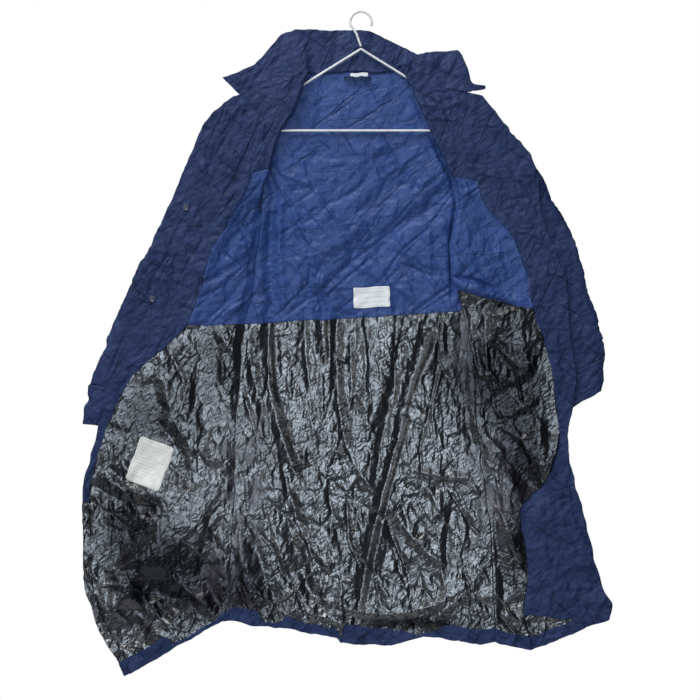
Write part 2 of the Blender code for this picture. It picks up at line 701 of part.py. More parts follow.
def main():
    for old in list(bpy.data.objects):
        bpy.data.objects.remove(old)
    right = table(RIGHT_FRONT, FRONT_COLUMNS)
    left = table(LEFT_FRONT, FRONT_COLUMNS)
    make_hanger()
    back, back_normals = make_back((right, left))
    right_points, right_normals = make_front(
        "right", right, table(RIGHT_FOLDS, FOLD_COLUMNS), -1, RIGHT_FACING_END
    )
    make_front("left", left, table(LEFT_FOLDS, FOLD_COLUMNS), 1, FACING_END)
    collar = collar_points(table(COLLAR))
    collar_normals = viewer_normals(collar, level_rows=range(COLLAR_ROWS + 1))
    wall("collar", collar, collar - collar_normals * COLLAR_WALL, SHELL_NAVY, 0.5)
    make_sleeve("right", table(RIGHT_SLEEVE))
    make_sleeve("left", table(LEFT_SLEEVE))
    make_neck_loop()
    on_lining = LINING_WALL + 4 * SEAM_GAP
    label("name_label", back, back_normals, (22, -539), (68, 43), 1.5, LABEL_WALL, on_lining)
    label("care_label", right_points, right_normals, (-401, -857), (65, 90), -19, LABEL_WALL,
          3 * SEAM_GAP, RETURN_CELLS)
    make_buttons(right_points, right_normals)


main()
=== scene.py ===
# %% [markdown]
# # A long raincoat hung open on a wire hanger
# The coat is cut from navy nylon. Its inside is proofed with a glossy black coating, lined in blue
# satin down to the waist. It hangs with both fronts turned out, so the inside shows. The part's
# solids hold the sizes and this script adds the looks, as cloth worked out with numpy.

# %% Load the part and keep its size
import math

import bmesh
import bpy
import numpy as np
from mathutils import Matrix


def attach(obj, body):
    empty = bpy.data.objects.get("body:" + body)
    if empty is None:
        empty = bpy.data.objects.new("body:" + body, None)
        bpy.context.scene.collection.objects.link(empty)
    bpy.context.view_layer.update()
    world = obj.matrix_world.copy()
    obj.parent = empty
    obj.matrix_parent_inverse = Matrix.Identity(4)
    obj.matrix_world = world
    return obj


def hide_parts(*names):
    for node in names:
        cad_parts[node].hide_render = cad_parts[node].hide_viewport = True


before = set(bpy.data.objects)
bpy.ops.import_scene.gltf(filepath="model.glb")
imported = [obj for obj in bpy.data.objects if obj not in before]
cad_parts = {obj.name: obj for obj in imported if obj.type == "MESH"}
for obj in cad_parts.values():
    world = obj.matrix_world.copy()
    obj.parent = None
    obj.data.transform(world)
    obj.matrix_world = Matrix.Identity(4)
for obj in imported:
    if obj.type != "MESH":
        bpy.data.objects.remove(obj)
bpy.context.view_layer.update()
MM = 0.001

# %% [markdown]
# ## Camera, floor and light
# The coat is seen straight on from a few metres away, so that its outline keeps its true shape.
# The coating is glossy and shows what stands before it. A broad soft lamp stands behind the
# viewer, so that cloth which faces the viewer shines and the sides of its creases stay dark. The
# surroundings look white but give little light, for the same reason. A lamp high on the left
# models the matt nylon, a weak one fills in from the left, and one behind lights the outside.

# %% Camera
FRAMED_WIDTH, CAMERA_DISTANCE = 1.33, 4.0
CAMERA_X, CAMERA_Z = -0.0209, -0.6409
camera = bpy.data.objects.new("camera", bpy.data.cameras.new("camera"))
camera.data.lens = camera.data.sensor_width * CAMERA_DISTANCE / FRAMED_WIDTH
camera.location = (CAMERA_X, -CAMERA_DISTANCE, CAMERA_Z)
camera.rotation_euler = (math.pi / 2, 0, 0)
bpy.context.collection.objects.link(camera)
bpy.context.scene.camera = camera
bpy.context.scene.view_settings.view_transform = "Standard"
print("lens", round(camera.data.lens), "mm")


# %% Floor
def plain_material(name, colour, roughness):
    """A material of one colour, before anything is added to its nodes."""
    made = bpy.data.materials.new(name)
    made.use_nodes = True
    shader = made.node_tree.nodes["Principled BSDF"]
    shader.inputs["Base Color"].default_value = (*colour, 1)
    shader.inputs["Roughness"].default_value = roughness
    return made


FLOOR_HALF, FLOOR_Z = 1.4, -2.3
corners = [(-1, -1), (1, -1), (1, 1), (-1, 1)]
floor_mesh = bpy.data.meshes.new("floor")
floor_mesh.from_pydata(
    [(FLOOR_HALF * x, FLOOR_HALF * y, FLOOR_Z) for x, y in corners], [], [(0, 1, 2, 3)]
)
floor = bpy.data.objects.new("floor", floor_mesh)
floor_mesh.materials.append(plain_material("pale floor", (0.86, 0.86, 0.85), 0.8))
bpy.context.collection.objects.link(floor)
print("the floor is", 2 * FLOOR_HALF, "m wide and lies at z", FLOOR_Z)

# %% Surroundings
SEEN_WHITE, FELT_LIGHT, FELT_STRENGTH = (1.0, 1.0, 1.0, 1), (0.80, 0.88, 1.0, 1), 0.05
world = bpy.data.worlds.new("studio")
world.use_nodes = True
bpy.context.scene.world = world
nodes, links = world.node_tree.nodes, world.node_tree.links
seen, felt = nodes["Background"], nodes.new("ShaderNodeBackground")
seen.inputs["Color"].default_value = SEEN_WHITE
felt.inputs["Color"].default_value = FELT_LIGHT
felt.inputs["Strength"].default_value = FELT_STRENGTH
path, mix = nodes.new("ShaderNodeLightPath"), nodes.new("ShaderNodeMixShader")
links.new(path.outputs["Is Camera Ray"], mix.inputs["Fac"])
links.new(felt.outputs["Background"], mix.inputs[1])
links.new(seen.outputs["Background"], mix.inputs[2])
links.new(mix.outputs["Shader"], nodes["World Output"].inputs["Surface"])
print("the surroundings light the cloth with strength", FELT_STRENGTH)

# %% Lamps
LAMPS = """
name  x    y    z   width height power red  green
front -0.40 -4.7 -0.5 2.0 2.2   86   0.75 0.87
high -1.2 -1.6  2.6  3.0  1.6  125   1.00 1.00
left -3.2 -2.4 -0.2  0.6  1.8   10   1.00 1.00
back  0.6  3.2  1.0  2.4  1.6  100   1.00 1.00
"""
COAT_MIDDLE = np.array([0.0, 0.0, -0.65])
for line in LAMPS.strip().splitlines()[1:]:
    name, *numbers = line.split()
    x, y, z, width, height, power, red, green = map(float, numbers)
    lamp = bpy.data.lights.new(name, "AREA")
    lamp.shape, lamp.size, lamp.size_y, lamp.energy = "RECTANGLE", width, height, power
    lamp.color = (red, green, 1.0)
    lamp_object = bpy.data.objects.new(name, lamp)
    lamp_object.location = (x, y, z)
    towards = COAT_MIDDLE - np.array([x, y, z])
    turn = math.atan2(towards[0], -towards[1])
    lean = math.atan2(math.hypot(towards[0], towards[1]), -towards[2])
    lamp_object.rotation_euler = (lean, 0, turn + math.pi)
    bpy.context.collection.objects.link(lamp_object)
print(len(LAMPS.strip().splitlines()) - 1, "lamps")

# %% [markdown]
# ## Sizes of the cut pieces
# Each front is described at stations down the coat: where it is sewn to the back, where it folds
# over, where the facing's inner edge runs and where its own front edge is. The other pieces have
# tables of the same kind. They could be drawn as curves instead, but numbers in a table are
# easier to measure and to change. They hold millimetres and are those of the solids, apart from
# four stations where the cloth's edge is followed more closely.


# %% Reading a table
PLAIN_COLUMNS = ("turn", "share", "sharp")


def table(text, columns=None):
    """A text table as arrays by column name. Lengths are turned from mm to metres; turn, share and
    sharp stay as they are, from 0 to 1."""
    lines = text.strip().splitlines()
    names = (columns or lines.pop(0)).split()
    values = np.array([line.split() for line in lines], float).T
    return {name: row if name in PLAIN_COLUMNS else row * MM for name, row in zip(names, values)}


print("for example:", table("x z\n 100 -1200"))

# %% Stations down the right front
FRONT_COLUMNS = (
    "seam_x seam_y seam_z fold_x fold_z facing_x facing_z edge_x edge_z"
    " return_y fold_y facing_y edge_y lift turn"
)
RIGHT_FRONT = """
-211 -5.5  -170 -100  -113 -160  -136 -243  -160 -5.5 -11 -11 -10 0 1
-208 -6.5  -200 -118  -158 -192  -182 -294  -205 -6.5 -13 -13 -12 0 1
-204 -6.5  -240 -141  -206 -206  -238 -321  -265 -6.5 -13 -13 -12 0 1
-199 -6.5  -282 -165  -255 -214  -275 -346  -327 -6.5 -13 -13 -12 0 1
-196   -5  -305 -174  -297 -208  -304 -370  -379   -5 -12 -12 -11 0 1
-188    9  -379 -204  -379 -243  -388 -400  -452    6   0 -10 -11 0 0
-197    9  -455 -213  -455 -284  -455 -434  -540    6  -1 -11 -10 0 0
-208    9  -534 -224  -534 -305  -530 -458  -590    6  -2 -10  -9 0 0
-222    8  -593 -238  -593 -329  -594 -475  -640    6  -2  -9  -8 0 0
-232    6  -700 -246  -700 -440  -700 -490  -738    4   0  -8  -7 0 0
-240    5  -812 -255  -812 -487  -806 -502  -804    3   0  -4  -4 0 0
-242    4  -926 -258  -926 -517  -919 -530  -918    3   1   0  -2 0 0
-250    4 -1040 -266 -1040 -514 -1049 -529 -1050    3   2   0   0 0 0
-250    4 -1090 -266 -1090 -500 -1130 -513 -1133    3   2   1   0 0 0
-250    4 -1110 -266 -1110 -478 -1180 -490 -1190    3   2   2   0 0 0
-249    4 -1128 -264 -1128 -448 -1228 -461 -1236    3   2   2   1 0 0
-248    4 -1156 -262 -1156 -440 -1256 -452 -1262    3   2   2   2 0 0
"""
RIGHT = table(RIGHT_FRONT, FRONT_COLUMNS)
print("stations down the right front:", len(RIGHT["turn"]))

# %% Stations down the left front
LEFT_FRONT = """
  218 -5.5  -166  78  -101 150  -141 232  -157 -5.5 -11 -11 -10   0 1
217.5 -6.5  -200  97  -146 175  -185 268  -206 -6.5 -13 -13 -12   0 1
  214 -6.5  -240 120  -196 196  -222 298  -242 -6.5 -13 -13 -12   0 1
  211 -6.5  -282 142  -242 208  -262 323  -270 -6.5 -13 -13 -12   0 1
  209   -5  -300 158  -278 217  -290 338  -327   -5 -12 -12 -11   0 1
  203    9  -379 188  -350 228  -352 344  -386   -3 -12 -11 -10 3.3 1
  208    9  -455 170  -440 291  -436 374  -465   -3 -12 -11  -9 3.3 1
  212    8  -520 173  -505 316  -505 391  -520   -3 -12 -10  -9 3.3 1
  214    7  -566 182  -530 326  -565 396  -590   -2 -10 -10  -8 3.3 1
  215    6  -690 213  -650 358  -665 407  -700    0  -6  -9  -7 0.3 1
  222    5  -800 237  -795 376  -805 392  -808    3   0  -5  -5   0 0
  236    4  -900 253  -896 350  -889 404  -885    3   2  -3  -4   0 0
  248    4 -1010 264  -985 304  -950 426  -965    3   2  -2  -3   0 0
  252    4 -1090 268 -1085 318 -1066 447 -1048    3   2   0  -2   0 0
  254    4 -1135 269 -1130 310 -1146 465 -1100    3   2   1  -1   0 0
  254    4 -1170 270 -1176 322 -1185 478 -1127    3   2   2   0   0 0
  254    4 -1197 270 -1202 326 -1210 471 -1153    3   2   2   2   0 0
"""
LEFT = table(LEFT_FRONT, FRONT_COLUMNS)
print("stations down the left front:", len(LEFT["turn"]))

# %% Outline of the back
BACK_ARMHOLES = """
right_x right_y right_z left_x left_y left_z
-213  9 -176 220  9 -170
-205 14 -238 214 14 -238
-198 14 -300 209 14 -300
"""
BACK_TOP = """
x z
-213   -172
-186 -158.5
-158   -144
-130 -129.5
-100   -114
 -89   -114
 -75 -112.5
 -60   -111
 -37 -109.5
 -13   -110
   4 -109.5
  20 -109.5
  40   -109
  60   -108
  68   -105
  78   -101
 104   -113
 133 -125.5
 162   -139
 191   -152
 220   -165
"""
BACK_HEM = """
x z
-248 -1156
-200 -1166
-150 -1170
-101 -1181
 -44 -1189
 -40 -1198
 -21 -1202
  60 -1204
 120 -1188
 186 -1194
 225 -1204
 254 -1197
"""
ARMHOLES, TOP, HEM_LINE = table(BACK_ARMHOLES), table(BACK_TOP), table(BACK_HEM)
print("the back is", round(1000 * np.ptp(TOP["x"])), "mm wide at the shoulders")

# %% Collar, from its seam to its outer edge
COLLAR = """
inner_x inner_y inner_z outer_x outer_y outer_z
-230   -10 -155.6 -264 -12  -126
-196   -11 -145.8 -205  -8  -101
-160   -11 -135.5 -170  -3   -62
-133   -11   -124 -152   2   -40
-106   -11 -112.5 -139   4   -33
-100  -8.5 -112.5 -120   5   -31
 -89   4.5 -113.5 -100   6   -31
 -75   4.5   -112  -80   7   -31
 -60   4.5 -110.5  -62   8   -31
 -37   4.5   -109  -38   9   -31
 -13   4.5 -109.5  -13   9 -31.5
   4   4.5   -109   10   9   -33
  20   4.5   -109   28   9   -37
  40   4.5 -108.5   45   8   -46
  60   4.5 -107.5   62   7   -55
  68   4.5 -104.5   78   6   -63
  78  -8.5 -100.5   92   4   -70
  84   -11 -100.5  110   2   -78
 117   -11 -120.4  141  -3   -72
 150   -11 -140.5  180  -6   -71
 191 -10.5 -148.3  200  -9  -104
 203 -10.3 -150.8  210 -11  -130
 212 -10.3 -145.5  215 -12  -136
 236 -10.3   -146  236 -12  -140
"""
COLLAR_PIECE = table(COLLAR)
print("stations along the collar:", len(COLLAR_PIECE["inner_x"]))

# %% Sleeves, as two edges and half the thickness
RIGHT_SLEEVE = """
outer_x outer_z inner_x inner_z outer_y inner_y half
-216.5 -177 -186 -381 6.5 13.5   10
  -255 -203 -214 -404 6.5 10.5   10
  -314 -275 -246 -452   6    8 10.5
  -364 -375 -284 -520   6    7   11
  -423 -480 -312 -590   7    7   11
  -468 -580 -342 -655   7    7   11
  -502 -664 -362 -703   8    8 10.5
  -519 -708 -373 -725   8    8   10
  -530 -781 -384 -800   8    8   10
"""
LEFT_SLEEVE = """
outer_x outer_z inner_x inner_z outer_y inner_y half
223 -171 207 -372 6.5   13   10
262 -197 228 -406 6.5 10.5   10
318 -262 256 -450   6    8 10.5
362 -345 284 -500   6    7   11
402 -420 302 -560   7    7   11
428 -508 318 -620   7    7   11
452 -585 326 -672   7    7 10.5
464 -655 328 -716   8    8   10
458 -719 330 -786   8    8   10
"""
SLEEVES = {"right": table(RIGHT_SLEEVE), "left": table(LEFT_SLEEVE)}
print("stations down a sleeve:", len(SLEEVES["left"]["half"]))

# %% Stations that matter
UNDERARM, LINING_TOP, LINING_HEM, HEM_BAND_TOP, HEM = 5, 4, 8, 15, 16
# Where the facing ends and where the lining starts on each front, between stations too
FACING_END = {"right": 11.1, "left": 14}
LINING_START = {"right": 4, "left": 4.55}
print("the underarm is at z", round(1000 * RIGHT["seam_z"][UNDERARM]), "mm")

# %% [markdown]
# ## Smooth lines through the stations
# A sewn edge runs smoothly through its stations. A spline curve would swing out beside a straight
# stretch that follows a bend. A cubic between each two stations, with slopes that never
# overshoot, keeps it straight.


# %% Lines through stations
def through(values, places):
    """Cubics between stations; the slope at one is the harmonic mean of its two neighbours' steps."""
    step = np.diff(values)
    rising = step[:-1] * step[1:] > 0
    slope = np.zeros(len(values))
    slope[1:-1] = np.where(
        rising, 2 * step[:-1] * step[1:] / np.where(rising, step[:-1] + step[1:], 1), 0
    )
    slope[0], slope[-1] = step[0], step[-1]
    start = np.clip(np.floor(places).astype(int), 0, len(step) - 1)
    t = places - start
    low, high = values[start], values[start + 1]
    return (
        low * (1 + 2 * t) * (1 - t) ** 2
        + slope[start] * t * (1 - t) ** 2
        + high * t**2 * (3 - 2 * t)
        + slope[start + 1] * t**2 * (t - 1)
    )


def blend(start, end, share):
    """Start plus a share of the way to the end."""
    return start + (end - start) * share


def eased(share):
    """0 to 1 with level ends."""
    share = np.clip(share, 0, 1)
    return share * share * (3 - 2 * share)


def beyond(value, start, reach):
    """0 up to start, and easing to 1 over the reach past it."""
    return eased((value - start) / reach)


def below(value, start, reach):
    """0 down to start, and easing to 1 over the reach under it."""
    return eased((start - value) / reach)


print("halfway down the right seam:", round(1000 * float(through(RIGHT["seam_z"], np.array([8.0]))[0])))

# %% [markdown]
# ## How crumpled nylon looks
# Crumpled cloth is made of nearly flat facets that meet in sharp creases, at several sizes at
# once. Straight steps between random heights on a grid of triangles give such facets. A few
# sizes are added up, each on its own turned and bent grid so that no pattern shows. The long thin
# creases run along the borders of cells. A noise texture with a Displace modifier would be
# quicker, but its hills are round, and two layers could not share it.


# %% Facets of one size
def dice(column, row, seed):
    """A repeatable number from -1 to 1 for each point of a grid: its numbers mixed by multiplying."""
    mixed = column.astype(np.int64) * 73856093 ^ row.astype(np.int64) * 19349663 ^ seed * 83492791
    mixed = (mixed ^ (mixed >> 13)) * 1274126177 & 0xFFFFFFFF
    mixed = (mixed ^ (mixed >> 16)) & 0xFFFF
    return mixed / 32767.5 - 1


def facets(x, z, seed, level=False):
    """Heights on a grid of unit triangles, straight between corners, or eased when level is set."""
    skew = (x + z) * (math.sqrt(3) - 1) / 2
    across, down = x + skew, z + skew
    column, row = np.floor(across), np.floor(down)
    right, lower = across - column, down - row
    first = right > lower
    most, least = np.maximum(right, lower), np.minimum(right, lower)
    if level:
        most, least = eased(most), eased(least)
    near, middle, far = 1 - most, most - least, least
    corner = dice(column + first, row + ~first, seed)
    return near * dice(column, row, seed) + middle * corner + far * dice(column + 1, row + 1, seed)


print("facet heights", np.round(facets(np.arange(5) * 0.7, np.arange(5) * 0.3, 3), 2))


# %% Facets of several sizes
def crumple(x, z, sizes, stretch=1.0, lean=0.0):
    """A sum of facets. Sizes holds (facet in mm, height in mm, seed); stretch draws them out along a
    line that leans from plumb by the given angle in degrees."""
    turn = math.radians(lean)
    along = (x * math.sin(turn) + z * math.cos(turn)) / stretch
    aside = x * math.cos(turn) - z * math.sin(turn)
    total = np.zeros_like(x)
    for size, height, seed in sizes:
        angle, scale = 2.4 * seed, 1 / (size * MM)
        u = (aside * math.cos(angle) - along * math.sin(angle)) * scale
        v = (aside * math.sin(angle) + along * math.cos(angle)) * scale
        bend = 0.55 * facets(u * 0.37, v * 0.37, seed + 101, level=True)
        sway = 0.55 * facets(u * 0.41, v * 0.41, seed + 202, level=True)
        total += height * MM * facets(u + bend, v + sway, seed)
    return total


line_x, line_z = np.linspace(0, 0.2, 5), np.zeros(5)
print("crumpled, in mm", np.round(1000 * crumple(line_x, line_z, ((40, 3.0, 1),)), 1))


# %% Long thin creases
def border(u, v, seed):
    """How far each point is from the border of its cell: with one point scattered in each unit
    square, the distance to the second nearest of them minus the distance to the nearest."""
    column, row = np.floor(u), np.floor(v)
    nearest, second = np.full(u.shape, 9.0), np.full(u.shape, 9.0)
    for right in (-1, 0, 1):
        for down in (-1, 0, 1):
            a, b = column + right, row + down
            aside = a + 0.5 + 0.46 * dice(a, b, seed) - u
            along = b + 0.5 + 0.46 * dice(a, b, seed + 9) - v
            distance = np.hypot(aside, along)
            second = np.minimum(second, np.maximum(nearest, distance))
            nearest = np.minimum(nearest, distance)
    return second - nearest


def creases(x, z, sets, stretch=1.0, lean=0.0):
    """Straight sharp folds along cell borders: height * exp(-border / width). Sets holds (cell in mm,
    height in mm, width as a share, seed). Each set comes and goes, so that its folds have ends."""
    turn = math.radians(lean)
    along = (x * math.sin(turn) + z * math.cos(turn)) / stretch
    aside = x * math.cos(turn) - z * math.sin(turn)
    total = np.zeros_like(x)
    for size, height, width, seed in sets:
        u, v = aside / (size * MM) + 7.3 * seed, along / (size * MM) - 3.1 * seed
        bend = 0.10 * facets(u * 1.7, v * 2.9, seed + 303, level=True)
        here = eased(0.45 + 1.0 * facets(0.8 * u, 0.9 * v, seed + 505, level=True))
        total += height * MM * here * np.exp(-border(u + bend, v, seed) / width)
    return total


print("creased, in mm", np.round(1000 * creases(line_x, line_z, ((40, 3.0, 0.3, 1),)), 1))

# %% [markdown]
# ## Folds and creases
# The larger folds are listed one by one. A fold is a line with a height across it: a soft one is a
# bell, a creased one falls away from a sharp top on both sides, one side steeper than the other.
# Its line bows sideways and it fades at both ends. A cloth simulation would fold the coat in
# places of its own choice, and these folds are pressed into the cloth by years of hanging.

# %% Folds of the back
FOLD_COLUMNS = "x0 z0 x1 z1 bow width height sharp"
# Lengths are millimetres; sharp is 0 for a soft fold and 1 for a creased one
BACK_FOLDS = """
-177  -575 -172  -728   2 12 -7.5 0.3
-172  -728 -122  -885   4 12   -8 0.4
-165  -600 -158  -720   2  9    4 0.6
-210  -660 -186  -765   2 12   -6 0.3
-148  -869  -91 -1034   5  9   -5 0.6
-135  -975  -88 -1115   6 14 -7.5 0.3
-107  -575 -100  -700   3  8   -4 0.5
 -74  -560  -66  -655   2 11 -6.5 0.3
 -62  -570  -56  -680   2  8  3.5 0.6
 -45  -590  -46  -700   2 10 -6.5 0.3
 -46  -700  -30  -815   3  9 -5.5 0.4
 -20  -620  -12  -740   3  8 -3.5 0.5
  10  -640   14  -800   4 10  3.5 0.5
  84  -625   32  -862   5 11 -6.5 0.3
 122  -615   61  -880   5 15   -8 0.3
 150  -610   70  -820   6  9  5.5 0.6
  68  -818   -2 -1110   4 10   -9 0.5
  82  -815   12 -1110   4  8  5.5 0.6
 198  -590  202  -700   2 14 -7.5 0.3
 202  -700  222  -830   3 15   -8 0.3
 112  -872  190  -884   2  7    4 0.7
 105  -884  150  -908   2  7 -3.5 0.7
 170  -950  165 -1050   4 12   -5 0.6
 100  -880  145  -950 -10 12  4.5 0.6
  60  -940  150 -1045   8 12    4 0.6
   0 -1140  200 -1090  22 13    5 0.5
 100 -1160  165 -1182   6 11 -4.5 0.5
-130 -1000  -60 -1060  -8 12    4 0.6
-200 -1010 -160 -1120   6 13   -5 0.5
-230 -1010 -190 -1110   8 12  4.5 0.6
 -60  -900  -40 -1010   5 12   -4 0.6
  20 -1030   60 -1120   8 12    4 0.6
-180  -903  -59  -903   2  4  0.8 0.9
  60  -915  250  -905   3  4  0.8 0.9
 150  -820  156 -1100   3  6  1.8 0.9
-110  -400  -60  -360   5  7   -3 0.9
 -60  -360  -15  -340   4  7   -3 0.9
 -15  -340   25  -290   4  7   -3 0.9
  30  -290   65  -335   5  7   -3 0.9
 -75  -275  -10  -272   4  6   -2 0.9
-110  -278  -65  -262   3  6   -2 0.9
 -48  -195  -20  -195   2  5 -1.2 0.9
 -20  -195   10  -215   3  5 -1.4 0.9
 -45  -190   -5  -155   3  5 -1.4 0.9
-125  -165  -60  -140   3  6 -1.3 0.9
 150  -340  125  -375   6 12 -4.5 0.6
 125  -375   40  -440  10 14   -5 0.6
  40  -440   10  -470   4 10 -3.5 0.7
-180  -310 -172  -335   3  9 -4.5 0.6
-172  -335 -170  -540   5 12  -11 0.4
-152  -350 -148  -545   5  9    5 0.5
-180  -420 -160  -395   3  5    3 0.7
-176  -480 -156  -450   3  5    3 0.7
 101  -165  145  -259   0  4   -7 0.7
 145  -259  175  -318   1  4   -9 0.7
 175  -318  184  -362   1  5  -14 0.7
 184  -362  172  -439   2  5  -12 0.7
 172  -439  173  -530   1  4  -10 0.7
-125  -405 -105  -440   4  8   -3 0.9
-150  -440 -100  -470   5  8   -3 0.9
 -95  -510  -25  -522   4  6  2.2 0.9
-105  -530  -40  -540   3  6 -2.2 0.9
-125  -470  -35  -420  10 15    4 0.5
 -60  -450    0  -400   8 14  3.5 0.5
  60  -380  100  -470   8 12  3.5 0.6
  85  -480  150  -500   5  9   -3 0.8
  60  -300  110  -250   6 10  2.6 0.7
 -20  -260   70  -245   6 10  2.2 0.6
-100  -240  -30  -225   5  9  1.8 0.7
 130  -420  140  -540   5 11  3.5 0.6
  95  -340  118  -300   4  8 -2.6 0.8
"""
BACK_CREASES = table(BACK_FOLDS, FOLD_COLUMNS)
print("folds of the back:", len(BACK_CREASES["x0"]))

# %% Folds of the right front
RIGHT_FOLDS = """
-220  -265 -222  -310  3  7 -2.5 0.8
-300  -370 -290  -440  5  9 -3.5 0.8
-420  -440 -360  -455  4  6  2.4 0.9
-415  -460 -355  -482  4  6  2.4 0.9
-410  -490 -350  -510  4  6  2.4 0.9
-350  -460 -350  -600  6  9 -3.5 0.7
-395  -560 -395  -610  3  7 -2.5 0.8
-205  -400 -270  -470  8  9 -3.5 0.7
-210  -470 -200  -520  4  9   -3 0.7
-215  -540 -200  -555  2  7 -2.5 0.8
-330  -590 -215  -545  8  9  3.5 0.7
-180  -130 -250  -210  8 12  3.5 0.5
-140  -150 -200  -230  6 10   -3 0.6
-230  -180 -300  -300 10 12    3 0.6
-260  -320 -330  -340  4  9   -3 0.7
-265  -400 -320  -560  8 12    4 0.5
-300  -600 -262  -800 12 22   -6 0.3
-262  -640 -282  -880  8 16    5 0.5
-480  -890 -400  -915  6 14    6 0.6
-400  -915 -290  -900  8 14    5 0.6
-500  -905 -400  -940  6 12   -6 0.6
-400  -940 -370  -965  3 10   -5 0.6
-400 -1045 -280  -930 10 22    6 0.2
-480 -1060 -440 -1045  4 10    5 0.7
-440 -1045 -375  -995  6 12  6.5 0.6
-430 -1060 -340 -1120 10 22   -9 0.3
-465 -1070 -420 -1125  5 12    6 0.5
-380 -1040 -300 -1120  8 13  7.5 0.6
-300 -1120 -250 -1160  4 12    6 0.6
-300 -1020 -270 -1130  8 14 -5.5 0.5
-420 -1150 -350 -1195  6 12  4.5 0.5
-283  -630 -290  -775  2 16 -7.5 0.3
-380  -660 -340  -800  8 14  4.5 0.5
-430  -720 -395  -800  5 12 -4.5 0.6
-330  -700 -320  -860  6 13  4.5 0.6
-470  -820 -440  -880  5 11    4 0.6
-296  -900 -296 -1060  3  6    2 0.9
"""
RIGHT_CREASES = table(RIGHT_FOLDS, FOLD_COLUMNS)
print("folds of the right front:", len(RIGHT_CREASES["x0"]))

# %% Folds of the left front
LEFT_FOLDS = """
180  -200 260  -255  8 11   -5 0.5
260  -255 310  -282  5 11 -4.5 0.5
165  -165 205  -195  5  8   -3 0.7
130  -135 190  -175  5  9    3 0.7
240  -310 285  -395  8 12   -5 0.5
345  -380 370  -420  4  9 -3.5 0.7
205  -240 250  -320  6 10  3.5 0.6
290  -330 330  -420  6 10  3.5 0.6
225  -330 300  -520 12 16   -4 0.4
200  -420 230  -540  6 12  3.5 0.6
260  -440 290  -540  5 10  3.5 0.6
180  -505 275  -532  6 10  4.5 0.5
182  -517 245  -537  0  7   12 0.2
245  -537 326  -555  0  7   10 0.2
178  -503 232  -516 -2  4  -12 0.6
232  -516 285  -530  2  4  -10 0.6
200  -560 215  -640  4 14 -6.5 0.4
215  -640 210  -720  3 14   -6 0.4
230  -570 300  -700 10 18   -5 0.4
240  -600 250  -720  6 12    5 0.6
300  -560 320  -680  6 11  4.5 0.6
290  -700 340  -640  6 12    5 0.6
340  -720 350  -860  6 12    4 0.6
265  -788 350  -860 -6 12    8 0.7
272  -805 335  -905  6 18  -11 0.2
300  -800 325  -930  6 20   -9 0.2
262  -768 330  -735  6 10    6 0.6
270  -900 300 -1040  8 12    5 0.6
255  -960 270 -1090  5 12   -5 0.6
330  -930 440 -1040  8 14    4 0.5
350 -1000 455 -1080  6 12 -3.5 0.6
380  -560 370  -660  4 10  3.5 0.6
310 -1080 460 -1120  8 12    3 0.6
"""
LEFT_CREASES = table(LEFT_FOLDS, FOLD_COLUMNS)
print("folds of the left front:", len(LEFT_CREASES["x0"]))


# %% Height of the folds
def across_folds(folds, x, z):
    """For each fold: the distance across its bowed line over its width, and its fade along it."""
    for x0, z0, x1, z1, bow, width, height, sharp in zip(*(folds[name] for name in FOLD_COLUMNS.split())):
        run_x, run_z = x1 - x0, z1 - z0
        length = math.hypot(run_x, run_z)
        along = ((x - x0) * run_x + (z - z0) * run_z) / length**2
        near = (along > -0.4) & (along < 1.4)
        across = ((x - x0) * run_z - (z - z0) * run_x) / length - bow * 4 * along * (1 - along)
        near &= np.abs(across) < 4.5 * width
        yield near, along[near], across[near] / width, height, sharp


def folded(folds, x, z):
    """Sum of the folds: a bell, or a sharp top that falls off twice as steeply on one side."""
    total = np.zeros_like(x)
    for near, along, side, height, sharp in across_folds(folds, x, z):
        fade = eased((along + 0.3) / 0.45) * eased((1.3 - along) / 0.45)
        bell = np.exp(-(side**2))
        steep = np.where(side > 0, 1.9, 0.9)
        crease = np.exp(-np.abs(side) * steep)
        total[near] += height * fade * blend(bell, crease, sharp)
    return total


print("the back's folds, in mm", np.round(1000 * folded(BACK_CREASES, line_x, line_z - 0.3), 1))

# %% [markdown]
# ## Small creases
# Between the placed folds lie hundreds of short creases. They are drawn at random from a fixed
# seed inside a region, with a mean direction, and go through the same fold function.


# %% Scattered creases
def scattered(seed, count, low, high, lean, spread, length, width, height):
    """Random creases in a box from low to high (x, z in mm). Lean and spread give their angle from
    plumb in degrees; length, width and height are (least, most) in mm, half of them troughs."""
    draw = np.random.default_rng(seed)
    x, z = (draw.uniform(low[axis], high[axis], count) for axis in (0, 1))
    angle = np.radians(draw.normal(lean, spread, count))
    half = draw.uniform(*length, count) / 2
    tall = draw.uniform(*height, count) * draw.choice([-1, 1], count)
    values = {
        "x0": x - half * np.sin(angle),
        "z0": z - half * np.cos(angle),
        "x1": x + half * np.sin(angle),
        "z1": z + half * np.cos(angle),
        "bow": draw.uniform(-0.15, 0.15, count) * half,
        "width": draw.uniform(*width, count),
        "height": tall,
        "sharp": draw.uniform(600, 1000, count),
    }
    return {name: value * MM for name, value in values.items()}


